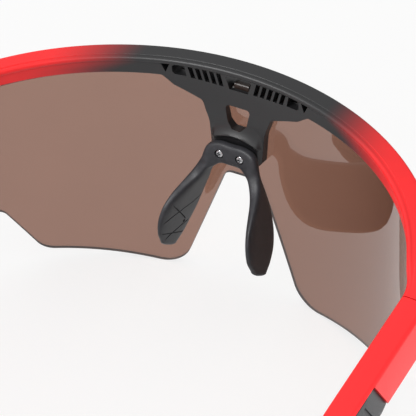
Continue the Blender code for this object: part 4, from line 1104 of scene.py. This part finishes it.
def build_temple(side, word):
    body = f"temple_{word}"
    arm = loft(f"arm_{word}", arm_rings(side, GAP / 2, TIP_START - GAP, 60))
    carve(arm, [inlay_region("inlay_pocket", side, GAP / 3)] + hinge_pockets(side, 1))
    finish_piece(arm, body, f"temple_arm_{word}", NYLON_RED)
    inlay = loft(f"inlay_{word}", arm_rings(side, INLAY_START - 14 * MM, TIP_START - GAP, 60))
    carve(inlay, [inlay_region("inlay_shape", side, 0.0)], "INTERSECT")
    carve(inlay, inlay_cuts(side))
    finish_piece(inlay, body, f"temple_inlay_{word}", BLACK_PLASTIC)
    tip = loft(f"tip_{word}", tip_rings(side))
    floor = lowest_lens_point()
    at = arm_centre(side, ARM_LENGTH)
    outline = [(at.x + a * 15 * MM, floor + b) for a, b in ((-1, -9 * MM), (1, -9 * MM), (1, 0), (-1, 0))]
    carve(tip, [prism("foot", outline, at.y - 30 * MM, at.y + 15 * MM)])
    finish_piece(tip, body, f"temple_tip_{word}", SOFT_RUBBER)


# ---------------------------------------------------------------- setting

def build_floor():
    """A pale table that the glasses stand on."""
    half = 6.0
    bm = bmesh.new()
    bm.faces.new([bm.verts.new((x, y, cad_box[0][2] - 0.02 * MM))
                  for x, y in ((-half, -half), (half, -half), (half, half), (-half, half))])
    floor = mesh_object("floor", bm)
    n = Nodes("pale_table")
    cloud = n.noise(6.0, 2.0)
    n.mottle(cloud, shade(TABLE, 0.99), shade(TABLE, 1.01))
    n.set(Roughness=0.6)
    n.set(**{"Emission Strength": TABLE_GLOW, "Emission Color": (1.0, 1.0, 1.0, 1.0)})
    n.set(**{"Specular IOR Level": 0.2})
    floor.data.materials.append(n.material)


def add_light(name, place, target, size, watts, on=None):
    """A round softbox; on names the collection that it lights, or None for everything."""
    lamp = bpy.data.lights.new(name, "AREA")
    lamp.shape = "DISK"
    lamp.size = size
    lamp.energy = watts
    thing = bpy.data.objects.new(name, lamp)
    bpy.context.scene.collection.objects.link(thing)
    thing.location = place
    thing.rotation_euler = (Vector(target) - Vector(place)).to_track_quat("-Z", "Y").to_euler()
    if on:
        thing.light_linking.receiver_collection = on


def build_world():
    """A white studio, brightest towards one side."""
    world = bpy.data.worlds.new("studio")
    world.use_nodes = True
    tree = world.node_tree
    back = tree.nodes["Background"]
    back.inputs["Color"].default_value = (1.0, 1.0, 1.0, 1.0)
    towards = tree.nodes.new("ShaderNodeVectorMath")
    towards.operation = "DOT_PRODUCT"
    towards.inputs[1].default_value = BRIGHT_SIDE
    tree.links.new(tree.nodes.new("ShaderNodeTexCoord").outputs["Generated"], towards.inputs[0])
    spread = tree.nodes.new("ShaderNodeMapRange")
    for key, number in (("From Min", -0.2), ("From Max", 1.0), ("To Min", WORLD_SIDE), ("To Max", WORLD_TOP)):
        spread.inputs[key].default_value = number
    tree.links.new(towards.outputs["Value"], spread.inputs["Value"])
    tree.links.new(spread.outputs["Result"], back.inputs["Strength"])
    bpy.context.scene.world = world


def build_lights():
    build_world()
    bpy.context.scene.view_settings.view_transform = "Standard"
    glasses, arms, nose = (bpy.data.collections.new(name) for name in ("lit_glasses", "lit_arms", "lit_nose"))
    for thing in bpy.context.scene.objects:
        if thing.type == "MESH" and thing.name != "floor":
            glasses.objects.link(thing)
            if thing.name.startswith(("arm_", "inlay_")):
                arms.objects.link(thing)
            if thing.name == "nose_rubber":
                nose.objects.link(thing)
    add_light("softbox_rear", (0.30, 0.50, 0.75), (0, 0, 0), 0.45, 6.0, glasses)
    add_light("softbox_right", (-0.75, 0.15, 0.35), (0, 0, 0.04), 0.5, 7.0, arms)
    add_light("softbox_nose", (-0.15, 0.50, 0.65), (0, -0.07, 0.03), 0.25, 8.0, nose)


def build_camera():
    lens = bpy.data.cameras.new("camera")
    lens.sensor_width = 36.0
    lens.lens = CAMERA_LENS
    lens.clip_start = 0.01
    camera = bpy.data.objects.new("camera", lens)
    bpy.context.scene.collection.objects.link(camera)
    towards = Vector((-sin(CAMERA_TURN) * cos(CAMERA_RISE), cos(CAMERA_TURN) * cos(CAMERA_RISE),
                      sin(CAMERA_RISE)))
    camera.location = CAMERA_TARGET + OFFSET + towards * CAMERA_DISTANCE
    camera.rotation_euler = (-towards).to_track_quat("-Z", "Y").to_euler()
    bpy.context.scene.camera = camera


def dress_cad_nodes():
    """Give the CAD nodes that stay their steel."""
    for name, node in frame["nodes"].items():
        if "hinge" in name or "leaf_screw" in name or name == "nose_core":
            node.data.materials.clear()
            node.data.materials.append(STEEL)


build_camera()
settle_tips()
build_brow()
build_lens()
build_nose()
for side, word in ((1, "left"), (-1, "right")):
    build_nose_screw(side, word)
    build_temple(side, word)
dress_cad_nodes()
build_floor()
build_lights()
bpy.context.view_layer.update()
